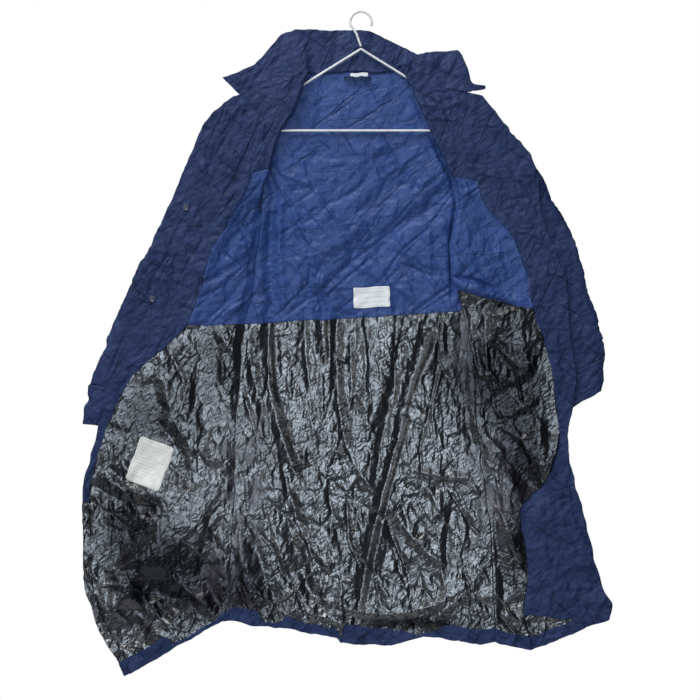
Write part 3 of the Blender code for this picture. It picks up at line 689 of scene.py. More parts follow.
COATING_CREASES = [
    scattered(11, 150, (-265, -1200), (275, -600), -6, 22, (30, 120), (4, 8), (0.8, 2.4)),
    scattered(12, 90, (-530, -1270), (-250, -600), 35, 50, (30, 100), (4, 8), (0.8, 2.4)),
    scattered(13, 70, (220, -1210), (480, -560), -20, 40, (30, 100), (4, 8), (0.8, 2.4)),
]
LINING_CREASES = [
    scattered(21, 90, (-230, -600), (220, -110), 55, 40, (25, 90), (4, 9), (0.5, 1.8)),
    scattered(22, 40, (-345, -600), (-190, -290), 20, 40, (20, 70), (4, 8), (0.5, 1.8)),
    scattered(23, 40, (160, -600), (340, -270), 25, 40, (20, 70), (4, 8), (0.5, 1.8)),
]
NYLON_CREASES = [
    scattered(31, 170, (-500, -650), (-90, -110), 25, 50, (15, 60), (3, 7), (0.5, 1.7)),
    scattered(32, 150, (80, -700), (470, -100), -25, 50, (15, 60), (3, 7), (0.5, 1.7)),
    scattered(33, 90, (290, -1210), (490, -700), -10, 50, (15, 60), (3, 7), (0.5, 1.7)),
]
print("small creases:", sum(len(each["x0"]) for each in COATING_CREASES + LINING_CREASES + NYLON_CREASES))

# %% [markdown]
# ## One relief for every layer
# Layers that are sewn together crease together. So the relief is a function of where a point
# lies on the coat, and each layer reads it at its own points.


# %% Relief of the coating
def waist(x):
    """Height at which the blue lining ends, a little lower on the right front."""
    return np.interp(x / MM, [-330, -240, -150, 0, 190, 330], [-594, -592, -574, -570, -566, -566]) * MM


def below_waist(x, z):
    """0 on the lining and 1 on the coating, over 25 mm."""
    return eased((waist(x) - z) / (25 * MM) + 0.5)


def coating_relief(x, z):
    """Three crumples blended by place: drawn, in upright strips between grooves under the waist;
    even, a net of folds in all directions, towards the hem and at the sides; and loose, broad
    folds on the left front and low on the right one."""
    low, aside = below(z, -0.84, 0.14), beyond(np.abs(x), 0.21, 0.06)
    share = np.maximum(low, aside)
    drawn = crumple(x, z, ((40, 1.1, 1), (20, 0.9, 2), (11, 0.55, 3)), 1.8, 4)
    drawn += creases(x, z, ((64, -3.4, 0.07, 1), (37, -2.0, 0.08, 2)), 4.0, 3)
    drawn += creases(x, z, ((40, 1.8, 0.06, 5), (22, 1.0, 0.09, 6)), 2.2, -24)
    drawn += creases(x, z, ((34, -1.6, 0.08, 3), (22, 1.1, 0.10, 4)), 1.8, 58)
    even = crumple(x, z, ((50, 2.2, 5), (26, 1.5, 6), (13, 0.75, 7)), 1.4, -15)
    even += creases(x, z, ((70, -5.5, 0.11, 11), (38, -2.8, 0.12, 12), (20, -1.2, 0.13, 13)), 2.4, -30)
    even += creases(x, z, ((50, 3.6, 0.08, 15), (26, 1.6, 0.10, 16)), 2.2, 30)
    loose = crumple(x, z, ((92, 11.0, 8), (44, 4.2, 9), (20, 0.9, 10)), 1.5, 30)
    loose += creases(x, z, ((84, -8.0, 0.08, 17), (44, 4.6, 0.07, 18), (26, -2.0, 0.09, 19)), 2.2, -40)
    right_foot = below(x, -0.27, 0.05) * below(z, -0.86, 0.08)
    total = blend(blend(drawn, even, share), loose, np.maximum(beyond(x, 0.20, 0.05), right_foot))
    for each in COATING_CREASES:
        total += folded(each, x, z)
    return total


grid_x, grid_z = np.meshgrid(np.linspace(-0.2, 0.2, 60), np.linspace(-1.1, -0.7, 60))
print("coating relief reaches", round(1000 * float(np.ptp(coating_relief(grid_x, grid_z))), 1), "mm")


# %% Relief of the satin and the nylon
def satin_relief(x, z):
    """Broad soft facets with long straight valleys, mostly oblique, and finer ones between."""
    total = crumple(x, z, ((105, 6.5, 11), (44, 2.2, 12), (20, 0.6, 13)), 2.2, 48)
    total += creases(x, z, ((90, -8.0, 0.06, 21), (50, -5.5, 0.06, 22), (28, -2.6, 0.08, 23)), 5.0, 50)
    total += creases(x, z, ((70, 4.5, 0.06, 25), (40, -4.2, 0.06, 26), (24, -1.8, 0.08, 27)), 3.6, -38)
    for each in LINING_CREASES:
        total += folded(each, x, z)
    return total


def nylon_relief(x, z):
    """Finer and denser than the satin, with short straight valleys in all directions."""
    lean = 25 if x.mean() < 0 else -30
    total = crumple(x, z, ((72, 4.6, 21), (32, 2.0, 22), (15, 0.7, 23)), 1.8, lean)
    total += creases(x, z, ((60, -6.0, 0.07, 31), (36, -4.4, 0.08, 32), (21, -2.4, 0.11, 33)), 3.2, lean)
    total += creases(x, z, ((48, 4.0, 0.07, 35), (30, -3.6, 0.09, 36), (18, -2.0, 0.12, 37)), 2.8, lean - 60)
    for each in NYLON_CREASES:
        total += folded(each, x, z)
    return total


print("satin relief reaches", round(1000 * float(np.ptp(satin_relief(grid_x, grid_z + 0.7))), 1), "mm")


# %% Relief of a whole panel
def seam_relief(x, z):
    """What both sides of a seam share, so that they meet: mild facets, a little puckered."""
    satin = crumple(x, z, ((90, 1.6, 11), (40, 1.0, 12)), 1.3, 35)
    coated = crumple(x, z, ((44, 1.8, 5), (21, 1.2, 6)), 1.2, -15)
    return blend(satin, coated, below_waist(x, z))


def near_hanger(z):
    """1 where the lining hangs close behind the wire, 0 below it."""
    return beyond(z, -0.262, 0.030)


def back_relief(x, z):
    """The back's relief: satin above the waist, coating below, calmer behind the wire. The placed
    folds count for more than their size, most of all on the satin, so that they stand out."""
    coated = below_waist(x, z)
    placed = blend(1.5, 1.15, coated) * folded(BACK_CREASES, x, z)
    total = blend(satin_relief(x, z), coating_relief(x, z), coated) + placed
    return total * blend(1.0, 0.45, near_hanger(z))


def side_relief(x, z, facing):
    """A front's relief: facing is 1 on the navy facing and 0 on lining and coating."""
    inside = blend(satin_relief(x, z), coating_relief(x, z), below_waist(x, z))
    placed = RIGHT_CREASES if x.mean() < 0 else LEFT_CREASES
    return blend(inside, nylon_relief(x, z), facing) + folded(placed, x, z)


def sway(points, size=34, reach=2.0):
    """Points pushed aside in the coat's plane by soft random steps, so that no edge is ruled."""
    x, z = points[..., 0] / (size * MM), points[..., 2] / (size * MM)
    moved = points.copy()
    for fine, seed in ((1.0, 61), (2.6, 64)):
        moved[..., 0] += reach * MM / fine * facets(x * fine, z * fine, seed, level=True)
        moved[..., 2] += reach * MM / fine * facets(x * fine, z * fine, seed + 1, level=True)
    return moved


print("the back's relief reaches", round(1000 * float(np.ptp(back_relief(grid_x, grid_z + 0.3))), 1), "mm")

# %% [markdown]
# ## From a grid of points to cloth
# Each panel is a grid of points for the side that faces the viewer, and the thickness of its
# cloth. A Solidify modifier could give the other side, but it would double every fine crease.
# The far side needs none, so it takes every second point, and a rim of small triangles joins the
# two sides. That closes the cloth and saves triangles for the side that shows.


# %% Lengths along a grid
def lengths(points, axis):
    """Length run along one direction of a grid, from its start to each point."""
    steps = np.linalg.norm(np.diff(points, axis=axis), axis=-1)
    pad = [(0, 0), (0, 0)]
    pad[axis] = (1, 0)
    return np.pad(np.cumsum(steps, axis=axis), pad)


def as_object(name, mesh):
    """An object at the origin that holds the mesh."""
    made = bpy.data.objects.new(name, mesh)
    bpy.context.collection.objects.link(made)
    return made


square = np.stack(np.meshgrid([0.0, 0.3], [0.0, 0.4]), axis=-1)
print("across and down a small grid:", lengths(square, 1)[0], lengths(square, 0)[:, 0])


# %% Faces of a closed cloth
def quads(grid, kept):
    """The four corners of each kept square of a grid of point numbers."""
    a, b, c, d = grid[:-1, :-1], grid[:-1, 1:], grid[1:, 1:], grid[1:, :-1]
    return np.stack([a[kept], b[kept], c[kept], d[kept]], axis=-1)


def rim_faces(index, behind, cells, ring):
    """Three triangles along each side of a block whose neighbour is missing: they join two edges of
    the near side to one of the far side."""
    rim = []
    padded = np.pad(cells, 1)
    if ring:
        padded[:, 0], padded[:, -1] = padded[:, -2], padded[:, 1]
    for down, across in ((-1, 0), (0, 1), (1, 0), (0, -1)):
        shifted = padded[1 + down : 1 + down + cells.shape[0], 1 + across : 1 + across + cells.shape[1]]
        i, j = np.nonzero(cells & ~shifted)
        top, left = 2 * i, 2 * j
        start, middle, end = {
            (-1, 0): ((top, left), (top, left + 1), (top, left + 2)),
            (0, 1): ((top, left + 2), (top + 1, left + 2), (top + 2, left + 2)),
            (1, 0): ((top + 2, left + 2), (top + 2, left + 1), (top + 2, left)),
            (0, -1): ((top + 2, left), (top + 1, left), (top, left)),
        }[(down, across)]
        a, b, c, d, e = index[start], index[middle], index[end], behind[start], behind[end]
        rim += [np.stack(three, axis=-1) for three in ((b, a, d), (c, b, e), (b, d, e))]
    return np.concatenate(rim)


print("one square's corners:", quads(np.arange(4).reshape(2, 2), np.ones((1, 1), bool)))


# %% Grid to closed cloth
def cloth(name, near, far, mats, cells=None, ring=False, marks=None):
    """Closed cloth between two grids of 2m+1 by 2n+1 points. Cells is an m by n mask of the blocks
    kept. Each block is four quads on the near side and one on the far side. A ring's last column
    is its first. Marks are values at the points that materials read by name."""
    rows, columns = near.shape[:2]
    index = np.arange(rows * columns).reshape(rows, columns)
    if ring:
        index[:, -1] = index[:, 0]
    behind = index + rows * columns
    cells = np.ones((rows // 2, columns // 2), bool) if cells is None else cells
    fine = np.repeat(np.repeat(cells, 2, axis=0), 2, axis=1)
    front, rear = quads(index, fine), quads(behind[::2, ::2], cells)[:, ::-1]
    rim = rim_faces(index, behind, cells, ring)
    inside_out = np.cross(near[1:, :-1] - near[:-1, :-1], near[:-1, 1:] - near[:-1, :-1])
    towards = ((near - far)[:-1, :-1] * inside_out).sum(-1)[fine].sum()
    if towards > 0:
        front, rear, rim = front[:, ::-1], rear[:, ::-1], rim[:, ::-1]
    corners = np.concatenate([front.ravel(), rear.ravel(), rim.ravel()])
    used, corners = np.unique(corners, return_inverse=True)
    points = np.concatenate([near.reshape(-1, 3), far.reshape(-1, 3)])[used]
    sizes = np.concatenate([np.full(len(front) + len(rear), 4), np.full(len(rim), 3)])
    slots = np.repeat([0, 1, 1], [len(front), len(rear), len(rim)])

    mesh = bpy.data.meshes.new(name)
    mesh.vertices.add(len(points))
    mesh.vertices.foreach_set("co", points.ravel())
    mesh.loops.add(len(corners))
    mesh.loops.foreach_set("vertex_index", corners.astype(np.int32))
    mesh.polygons.add(len(sizes))
    starts = np.concatenate([[0], np.cumsum(sizes)[:-1]])
    mesh.polygons.foreach_set("loop_start", starts.astype(np.int32))
    mesh.polygons.foreach_set("material_index", slots.astype(np.int32))
    mesh.polygons.foreach_set("use_smooth", np.ones(len(sizes), bool))
    place = np.stack([lengths(near, 1), lengths(near, 0)], axis=-1).reshape(-1, 2)
    place = np.concatenate([place, place])[used]
    mesh.uv_layers.new(name="cloth").data.foreach_set("uv", place[corners].ravel())
    for mark, values in (marks or {}).items():
        both = np.concatenate([values.ravel(), values.ravel()])[used]
        mesh.attributes.new(mark, "FLOAT", "POINT").data.foreach_set("value", both)
    mesh.update(calc_edges=True)
    mesh.validate()
    for mat in mats:
        mesh.materials.append(mat)
    print(f"{name}: {2 * (len(front) + len(rear)) + len(rim)} triangles")
    return as_object(name, mesh)


# %% Normals, bounds and far side
def viewer_normals(points):
    """Unit normals of a grid, turned to the viewer's side where it lies flat."""
    normal = np.cross(np.gradient(points, axis=1), np.gradient(points, axis=0))
    if normal[..., 1].mean() > 0:
        normal = -normal
    return normal / np.maximum(np.linalg.norm(normal, axis=-1, keepdims=True), 1e-12)


def limited(relief, forward, backward):
    """The relief, held softly between two bounds: each half runs into its bound as tanh does."""
    ahead = forward * np.tanh(np.maximum(relief, 0) / forward)
    return ahead - backward * np.tanh(np.maximum(-relief, 0) / backward)


def far_side(near, out, wall):
    """The far side of a shell: the near side moved in by the wall, and further where a neighbouring
    point lies deeper, so that the coarser far side stays behind every groove."""
    rows, columns = near.shape[:2]
    padded = np.pad(near, ((1, 1), (1, 1), (0, 0)), mode="edge")
    deepest = np.zeros((rows, columns))
    for down in range(3):
        for across in range(3):
            other = padded[down : down + rows, across : across + columns]
            deepest = np.maximum(deepest, ((near - other) * out).sum(-1))
    return near - out * (wall + np.minimum(deepest, 4.5 * MM))[..., None]


print("5 and 50 mm held under 10:", np.round(limited(np.array([5.0, 50.0]), 10, 10), 1))

# %% [markdown]
# ## The two fronts
# Each front is a single panel of nylon. Near the neck it is turned back over the wire: from the
# side seam it runs inward, rolls round an edge and comes out again in front. Lower down it just
# opens flat. The share called turn blends the one course into the other. Cut and folded as the
# real panel is, from one grid, it keeps its lining, facing and hem band in line with it.

# %% Rows and columns of a front
# The stations that a seam or hem lies on get a row of their own, with even rows between them
KEY_STATIONS = (0, LINING_TOP, UNDERARM, LINING_HEM, FACING_END["left"], HEM_BAND_TOP, HEM)
KEY_STEPS = (76, 28, 80, 204, 28, 20)
RETURN_STEPS, ROLL_STEPS, INNER_STEPS, FACING_STEPS = 8, 10, 76, 56
INNER = RETURN_STEPS + ROLL_STEPS + INNER_STEPS
TURN_WIDTH = 6 * MM
KEY_ROWS = dict(zip(KEY_STATIONS, np.concatenate([[0], np.cumsum(KEY_STEPS)])))


def even_steps(lines, first, last, steps):
    """Station numbers at even lengths along the mean of some lines, from first to last."""
    fine = np.linspace(first, last, 200)
    x, z = (np.mean([through(line[axis], fine) for line in lines], axis=0) for axis in (0, 1))
    length = np.concatenate([[0], np.cumsum(np.hypot(np.diff(x), np.diff(z)))])
    return np.interp(np.linspace(0, length[-1], steps + 1), length, fine)


def front_rows(front):
    """Station numbers of all rows of a front."""
    lines = [(front["seam_x"], front["seam_z"]), (front["edge_x"], front["edge_z"])]
    places = [np.array([0.0])]
    for first, last, steps in zip(KEY_STATIONS[:-1], KEY_STATIONS[1:], KEY_STEPS):
        places.append(even_steps(lines, first, last, steps)[1:])
    return np.concatenate(places)


RIGHT_ROWS, LEFT_ROWS = front_rows(RIGHT), front_rows(LEFT)
print("rows down a front:", len(RIGHT_ROWS))


# %% Surface of a front
def front_surface(front, rows, outward):
    """Rows down the coat. Across: straight from the seam, half an ellipse round the roll edge, then
    straight to the facing's inner edge and straight to the front edge."""
    at = {name: through(values, rows)[:, None] for name, values in front.items()}
    turn, tip = np.clip(at["turn"], 0, 1), TURN_WIDTH * outward
    seam_y = at["seam_y"] - at["lift"]
    under = np.linspace(0, 1, RETURN_STEPS + 1)[None, :]
    angle = np.linspace(0, math.pi, ROLL_STEPS + 1)[None, 1:]
    middle_y = (at["return_y"] + at["fold_y"]) / 2
    half_y = (at["return_y"] - at["fold_y"]) / 2
    turned_x = np.hstack(
        [blend(at["seam_x"], at["fold_x"] + tip, under), at["fold_x"] + tip * (1 - np.sin(angle))]
    )
    turned_y = np.hstack([blend(seam_y, at["return_y"], under), middle_y + half_y * np.cos(angle)])
    share = np.linspace(0, 1, RETURN_STEPS + ROLL_STEPS + 1)[None, :]
    x = blend(blend(at["seam_x"], at["fold_x"], share), turned_x, turn)
    y = blend(blend(seam_y, at["fold_y"], share), turned_y, turn)
    z_turned = blend(at["seam_z"], at["fold_z"], np.clip(share * 2.2, 0, 1))
    z = blend(blend(at["seam_z"], at["fold_z"], share), z_turned, turn)
    lined = np.linspace(0, 1, INNER_STEPS + 1)[None, 1:]
    faced = np.linspace(0, 1, FACING_STEPS + 1)[None, 1:]
    grid = [
        np.hstack(
            [start, blend(start[:, -1:], at[f"facing_{axis}"], lined)]
            + [blend(at[f"facing_{axis}"], at[f"edge_{axis}"], faced)]
        )
        for axis, start in (("x", x), ("y", y), ("z", z))
    ]
    return np.stack(grid, axis=-1), turn


print("a front's columns:", INNER + FACING_STEPS + 1)


# %% Relief of a front
SEAM_REACH = 22 * MM


def seamward(normals, seam):
    """Normals that turn to straight towards the viewer at a seam, the same from both sides."""
    return blend(normals, np.array([0.0, -1.0, 0.0]), seam[..., None])


def front_room(x, z, turn):
    """How far the relief may rise and sink. A turned front, and the one over the cuff, lie close on
    what is behind them. Low down and round the rolled hem on the left there is more room."""
    low = below(z, -0.83, 0.10)
    over_cuff = beyond(np.abs(x), 0.375, 0.02) * below(z, -0.66, 0.04)
    at_roll = below(z, -0.44, 0.03) * below(x, 0.285, 0.02) * beyond(x, 0.16, 0.01)
    raised = blend(blend(7 * MM, 11 * MM, low), 12 * MM, at_roll)
    sunk = blend(blend(3.6 * MM, 1.0 * MM, over_cuff), 2.6 * MM, turn)
    return raised, blend(blend(sunk, 4.6 * MM, at_roll), 14 * MM, low)


def front_panel(front, rows, outward):
    """A front with its relief, and its outward normals. The relief fades out round the roll edge,
    stays between its bounds and meets the back's at the seam."""
    flat, turn = front_surface(front, rows, outward)
    flat = sway(flat)
    normals = viewer_normals(flat)
    x, z = flat[..., 0], flat[..., 2]
    column = np.arange(flat.shape[1])[None, :]
    facing = eased((column - INNER) / 5 + 0.5) * np.ones_like(x)
    facing = np.maximum(facing, eased((LINING_TOP - rows) / 0.3 + 0.5)[:, None])
    relief = limited(side_relief(x, z, facing), *front_room(x, z, turn))
    from_roll = np.clip((column - RETURN_STEPS - ROLL_STEPS / 2) / 9, 0, 1)
    seam = 1 - eased(lengths(flat, 1) / SEAM_REACH)
    relief = blend(relief, seam_relief(x, z), seam)
    shown = blend(1.0, eased(from_roll), turn)
    return flat + seamward(normals, seam) * (relief * shown)[..., None], normals


right_front, right_out = front_panel(RIGHT, RIGHT_ROWS, -1)
left_front, left_out = front_panel(LEFT, LEFT_ROWS, 1)
print("right front spans", np.round(1000 * np.ptp(right_front.reshape(-1, 3), axis=0)), "mm")

# %% [markdown]
# ## The back
# The back hangs between the two side seams. Its middle lies flat behind the hanger and its sides
# come forward to meet the fronts. Along the shoulders it arches over the wire. Its side rows are
# the fronts' own seam rows, so the seams close without any fitting.


# %% Surface of the back
ARM_STEPS, ARCH_STEPS, BACK_COLUMNS = 80, 6, 224
# Stations down the back: those of the armhole, then the fronts' own from the underarm on
ARM_STATIONS = len(ARMHOLES["right_x"])
LAST_STATION = ARM_STATIONS + HEM - UNDERARM
FIFTH = LAST_STATION / 5
BACK_DEPTH, ARCH_RISE, ARCH_REACH = 6.5 * MM, 4 * MM, 8.5 * MM


def back_surface():
    """Straight rows between the side edges, with depth (1 - middle)^4 towards them, moved to the
    top line and the hem in the outermost fifth, and half an ellipse over the wire at the top."""
    edges, row_places = [], []
    for side, front, rows in (("right", RIGHT, RIGHT_ROWS), ("left", LEFT, LEFT_ROWS)):
        edge = {
            axis: np.concatenate([ARMHOLES[f"{side}_{axis}"], front[f"seam_{axis}"][UNDERARM:]])
            for axis in "xyz"
        }
        arm = even_steps([(edge["x"], edge["z"])], 0, ARM_STATIONS, ARM_STEPS)
        places = np.concatenate([arm[:-1], rows[KEY_ROWS[UNDERARM] :] - UNDERARM + ARM_STATIONS])
        edges.append(np.stack([through(edge[axis], places) for axis in "xyz"], axis=-1))
        row_places.append(places)
    place = np.mean(row_places, axis=0)[:, None]
    share = np.linspace(0, 1, BACK_COLUMNS + 1)
    points = blend(edges[0][:, None, :], edges[1][:, None, :], share[None, :, None])
    top_x = blend(TOP["x"][0], TOP["x"][-1], share)
    top_z = np.interp(top_x, TOP["x"], TOP["z"])
    points[..., 2] += (top_z - points[0, :, 2]) * np.clip(1 - place / FIFTH, 0, 1)
    hem_z = np.interp(points[-1, :, 0], HEM_LINE["x"], HEM_LINE["z"])
    points[..., 2] += (hem_z - points[-1, :, 2]) * np.clip((place - (LAST_STATION - FIFTH)) / FIFTH, 0, 1)
    middle = np.clip(1 - np.abs(2 * share - 1), 0, 1)
    points[..., 1] = BACK_DEPTH + (points[..., 1] - BACK_DEPTH) * (1 - middle) ** 4

    neck = beyond(top_x, -98 * MM, 6 * MM) * below(top_x, 76 * MM, 6 * MM)
    angle = np.linspace(0, math.pi, ARCH_STEPS + 1)[:-1, None]
    arch = np.repeat(points[:1], ARCH_STEPS, axis=0)
    arch[..., 1] -= (1 - neck) * ARCH_REACH * (1 + np.cos(angle)) / 2
    arch[..., 2] += (1 - neck) * ARCH_RISE * np.sin(angle)
    sunk = 4 * MM * neck
    arch[..., 2] -= sunk * angle / math.pi
    points[0, :, 2] -= sunk
    return sway(np.concatenate([arch, points])), row_places


flat_back, back_places = back_surface()
print("the back's grid:", flat_back.shape[:2])


# %% Relief of the back
def back_panel(flat, row_places):
    """The back with its relief, and its normals. The relief meets the fronts' at the seams, fades
    where a turned front lies on it, and starts below the arch over the wire."""
    bend = ARCH_STEPS + 1
    normals = np.concatenate([viewer_normals(flat[:bend]), viewer_normals(flat[bend:])])
    x, z = flat[..., 0], flat[..., 2]
    hanger = near_hanger(z)
    relief = limited(back_relief(x, z), blend(11 * MM, 1.7 * MM, hanger), blend(13 * MM, 4 * MM, hanger))
    across = lengths(flat, 1)
    for front, places, from_side in (
        (RIGHT, row_places[0], across),
        (LEFT, row_places[1], across[:, -1:] - across),
    ):
        stations = np.arange(len(front["turn"]))
        on_front = np.interp(places + UNDERARM - ARM_STATIONS, stations, front["turn"])
        turned = np.where(places < ARM_STATIONS, 1.0, on_front)
        turned = np.concatenate([np.ones(ARCH_STEPS), turned])[:, None]
        seam = 1 - eased(from_side / SEAM_REACH)
        relief = blend(relief, seam_relief(x, z), seam)
        relief *= blend(1.0, eased(from_side / (45 * MM)), turned)
        normals = seamward(normals, seam)
    relief[:bend] = 0
    relief[bend:] *= eased(np.arange(1, len(flat) - ARCH_STEPS) / 5)[:, None]
    return flat + normals * relief[..., None], normals


back, back_out = back_panel(flat_back, back_places)
BACK_LINING_HEM = ARCH_STEPS + ARM_STEPS + KEY_STEPS[2]
BACK_BAND_TOP = back.shape[0] - 1 - KEY_STEPS[-1]
lining_end = back[BACK_LINING_HEM, BACK_COLUMNS // 2, 2]
print("the back lining ends at z", round(1000 * float(lining_end)), "mm")

# %% [markdown]
# ## Finishes
# Effects that several finishes share are shader groups: fine crinkles that are too small for the
# mesh, a plain weave, and a mask of soft patches. Each material places them with its own values.
# They read Object coordinates or the cloth's own UV map, in metres, so they keep their real size
# on every piece. Pictures of cloth would do as well, but they repeat and have one fixed scale.


# %% Helpers for nodes
def new_group(name, inputs, outputs):
    """A shader group with float or vector inputs (name, default) and float outputs (name)."""
    group = bpy.data.node_groups.new(name, "ShaderNodeTree")
    for title, start in inputs:
        kind = "NodeSocketVector" if start is None else "NodeSocketFloat"
        socket = group.interface.new_socket(title, in_out="INPUT", socket_type=kind)
        if start is not None:
            socket.default_value = start
    for title in outputs:
        group.interface.new_socket(title, in_out="OUTPUT", socket_type="NodeSocketFloat")
    return group, group.nodes.new("NodeGroupInput"), group.nodes.new("NodeGroupOutput")


def put(tree, kind, inputs=None, **settings):
    """Adds a node, sets its properties, and fills its inputs with numbers or links."""
    node = tree.nodes.new(kind)
    for name, value in settings.items():
        setattr(node, name, value)
    for name, value in (inputs or {}).items():
        if isinstance(value, bpy.types.NodeSocket):
            tree.links.new(value, node.inputs[name])
        else:
            node.inputs[name].default_value = value
    return node


def math_node(tree, operation, first, second=0.0, third=0.0):
    """The result of one Math node."""
    node = put(tree, "ShaderNodeMath", {0: first, 1: second, 2: third}, operation=operation)
    return node.outputs[0]


def times(tree, first, second):
    """The product of two values."""
    return math_node(tree, "MULTIPLY", first, second)


def vector_node(tree, operation, inputs):
    """The result of one Vector Math node."""
    return put(tree, "ShaderNodeVectorMath", inputs, operation=operation).outputs[0]


def noise(tree, place, scale, detail, **settings):
    """A noise texture; its first output is the height and its second a colour."""
    return put(tree, "ShaderNodeTexNoise", {"Vector": place, "Scale": scale, "Detail": detail}, **settings)


def between(tree, value, low, high, new_low=0.0, new_high=1.0, **settings):
    """The value's place from low to high, stretched to run from new_low to new_high."""
    ends = {"Value": value, "From Min": low, "From Max": high, "To Min": new_low, "To Max": new_high}
    return put(tree, "ShaderNodeMapRange", ends, **settings).outputs["Result"]


print("a group's inputs are numbers or one vector")


# %% Fine crinkles
def drawn_out(group, plane, lean, stretch):
    """The plane's coordinates turned by an angle and shortened along it, so a pattern is drawn out."""
    turned = put(group, "ShaderNodeVectorRotate", {"Vector": plane, "Angle": lean}, rotation_type="Z_AXIS")
    share = put(group, "ShaderNodeCombineXYZ", {0: 1.0, 1: math_node(group, "DIVIDE", 1.0, stretch)})
    return vector_node(group, "MULTIPLY", {0: turned.outputs[0], 1: share.outputs[0]})


def from_border(group, place, size):
    """The distance to the border of a cell in a scattered pattern, with the cell's width as 1."""
    flat = {"voronoi_dimensions": "2D", "feature": "DISTANCE_TO_EDGE"}
    return put(group, "ShaderNodeTexVoronoi", {"Vector": place, "Scale": size}, **flat).outputs["Distance"]


def crinkle_group():
    """Small flat facets: roofs and hollows whose height is the distance to the border of a cell.
    Creases cross them, drawn out along lines of their own. Height is in metres; Crease is 1 in one."""
    inputs = [("Vector", None), ("Facet", 0.012), ("Slope", 0.1), ("Cut", 0.0006), ("Lean", 0.6)]
    group, given, out = new_group("fine crinkles", inputs + [("Stretch", 1.6)], ["Height", "Crease"])
    parts = put(group, "ShaderNodeSeparateXYZ", {0: given.outputs["Vector"]})
    plane = put(group, "ShaderNodeCombineXYZ", {0: parts.outputs[0], 1: parts.outputs[2]}).outputs[0]
    bend = noise(group, plane, 40.0, 1.0, noise_dimensions="2D").outputs["Color"]
    offset = vector_node(group, "SUBTRACT", {0: bend, 1: (0.5, 0.5, 0.5)})
    pushed = vector_node(group, "SCALE", {0: offset, "Scale": 0.006})
    moved = vector_node(group, "ADD", {0: plane, 1: pushed})
    scale = math_node(group, "DIVIDE", 1.0, given.outputs["Facet"])
    lean, stretch = given.outputs["Lean"], given.outputs["Stretch"]
    tilts, lines = None, None
    for factor, turn, share in ((0.45, 0.0, 1.0), (0.8, 0.8, -0.9), (1.7, -0.5, 0.6)):
        size = times(group, scale, factor)
        facing = drawn_out(group, moved, math_node(group, "ADD", lean, turn), stretch)
        inside = from_border(group, facing, size)
        part = times(group, math_node(group, "DIVIDE", inside, size), share)
        tilts = part if tilts is None else math_node(group, "ADD", tilts, part)
    for turn, longer, factor, weight in ((0.15, 6.0, 0.5, 1.0), (-1.25, 4.5, 0.7, 0.8), (0.7, 6.0, 1.0, 0.7)):
        angle = math_node(group, "ADD", lean, turn)
        thread = drawn_out(group, moved, angle, times(group, stretch, longer))
        size = times(group, scale, factor)
        line = between(group, from_border(group, thread, size), 0.0, 0.09, 1.0, 0.0)
        here = noise(group, thread, size, 1.0, noise_dimensions="2D").outputs[0]
        part = times(group, times(group, line, between(group, here, 0.52, 0.70)), weight)
        lines = part if lines is None else math_node(group, "MAXIMUM", lines, part)
    sloped = times(group, tilts, given.outputs["Slope"])
    carved = times(group, lines, given.outputs["Cut"])
    group.links.new(math_node(group, "SUBTRACT", sloped, carved), out.inputs["Height"])
    group.links.new(lines, out.inputs["Crease"])
    return group


CRINKLES = crinkle_group()
print(CRINKLES.name, "has", len(CRINKLES.nodes), "nodes")


# %% Weave and patches
def weave_group():
    """A plain weave on the cloth's UV map in metres: two crossed waves, one thread up, one down."""
    inputs = [("Cloth", None), ("Thread", 0.0007), ("Height", 0.00006)]
    group, given, out = new_group("weave", inputs, ["Height"])
    parts = put(group, "ShaderNodeSeparateXYZ", {0: given.outputs["Cloth"]})
    waves = []
    for axis in (0, 1):
        count = math_node(group, "DIVIDE", parts.outputs[axis], given.outputs["Thread"])
        waves.append(math_node(group, "SINE", times(group, count, math.pi)))
    woven = times(group, waves[0], waves[1])
    group.links.new(times(group, woven, given.outputs["Height"]), out.inputs["Height"])
    return group


def patches_group():
    """A mask of soft-edged patches: noise of one size, cut at a level and softened by a width."""
    inputs = [("Vector", None), ("Size", 0.05), ("Level", 0.55), ("Soft", 0.1)]
    group, given, out = new_group("patches", inputs, ["Mask"])
    scale = math_node(group, "DIVIDE", 1.0, given.outputs["Size"])
    height = noise(group, given.outputs["Vector"], scale, 5.0)
    height.inputs["Roughness"].default_value = 0.62
    low = math_node(group, "SUBTRACT", given.outputs["Level"], given.outputs["Soft"])
    high = math_node(group, "ADD", given.outputs["Level"], given.outputs["Soft"])
    step = between(group, height.outputs[0], low, high, interpolation_type="SMOOTHSTEP")
    group.links.new(step, out.inputs["Mask"])
    return group


WEAVE, PATCHES = weave_group(), patches_group()
print("groups:", WEAVE.name, "and", PATCHES.name)

# %% [markdown]
# ## The cloths
# The coating is a thin film on the nylon: nearly black, smooth, and it mirrors the lamps in every
# small facet. Along the side seams it has rubbed rough and shows a purplish cast. In some places a
# mask feeds Metallic: the film's colour is nearly black, so as a metal it mirrors little. The mask
# is partly a duller coating and partly painted shade, under a fold and under the left lining's hem.
# The satin is blue with a broad soft shine. The nylon's outside is navy and nearly matt. Both are
# darker in their fine creases, as painted shade.
# Numbers that are the same all over sit on the Principled shader's own sockets.


# %% Helpers for materials
def placed(tree, group, **inputs):
    """Places a shader group and fills its inputs."""
    return put(tree, "ShaderNodeGroup", inputs, node_tree=group)


def marked(tree, name):
    """A value that the mesh carries at its points."""
    return put(tree, "ShaderNodeAttribute", attribute_name=name).outputs["Fac"]


def mixed(tree, share, first, second):
    """The first colour, and more of the second as the share grows. The first may be a link."""
    first = first if isinstance(first, bpy.types.NodeSocket) else (*first, 1)
    return put(tree, "ShaderNodeMix", {0: share, 6: first, 7: (*second, 1)}, data_type="RGBA").outputs[2]


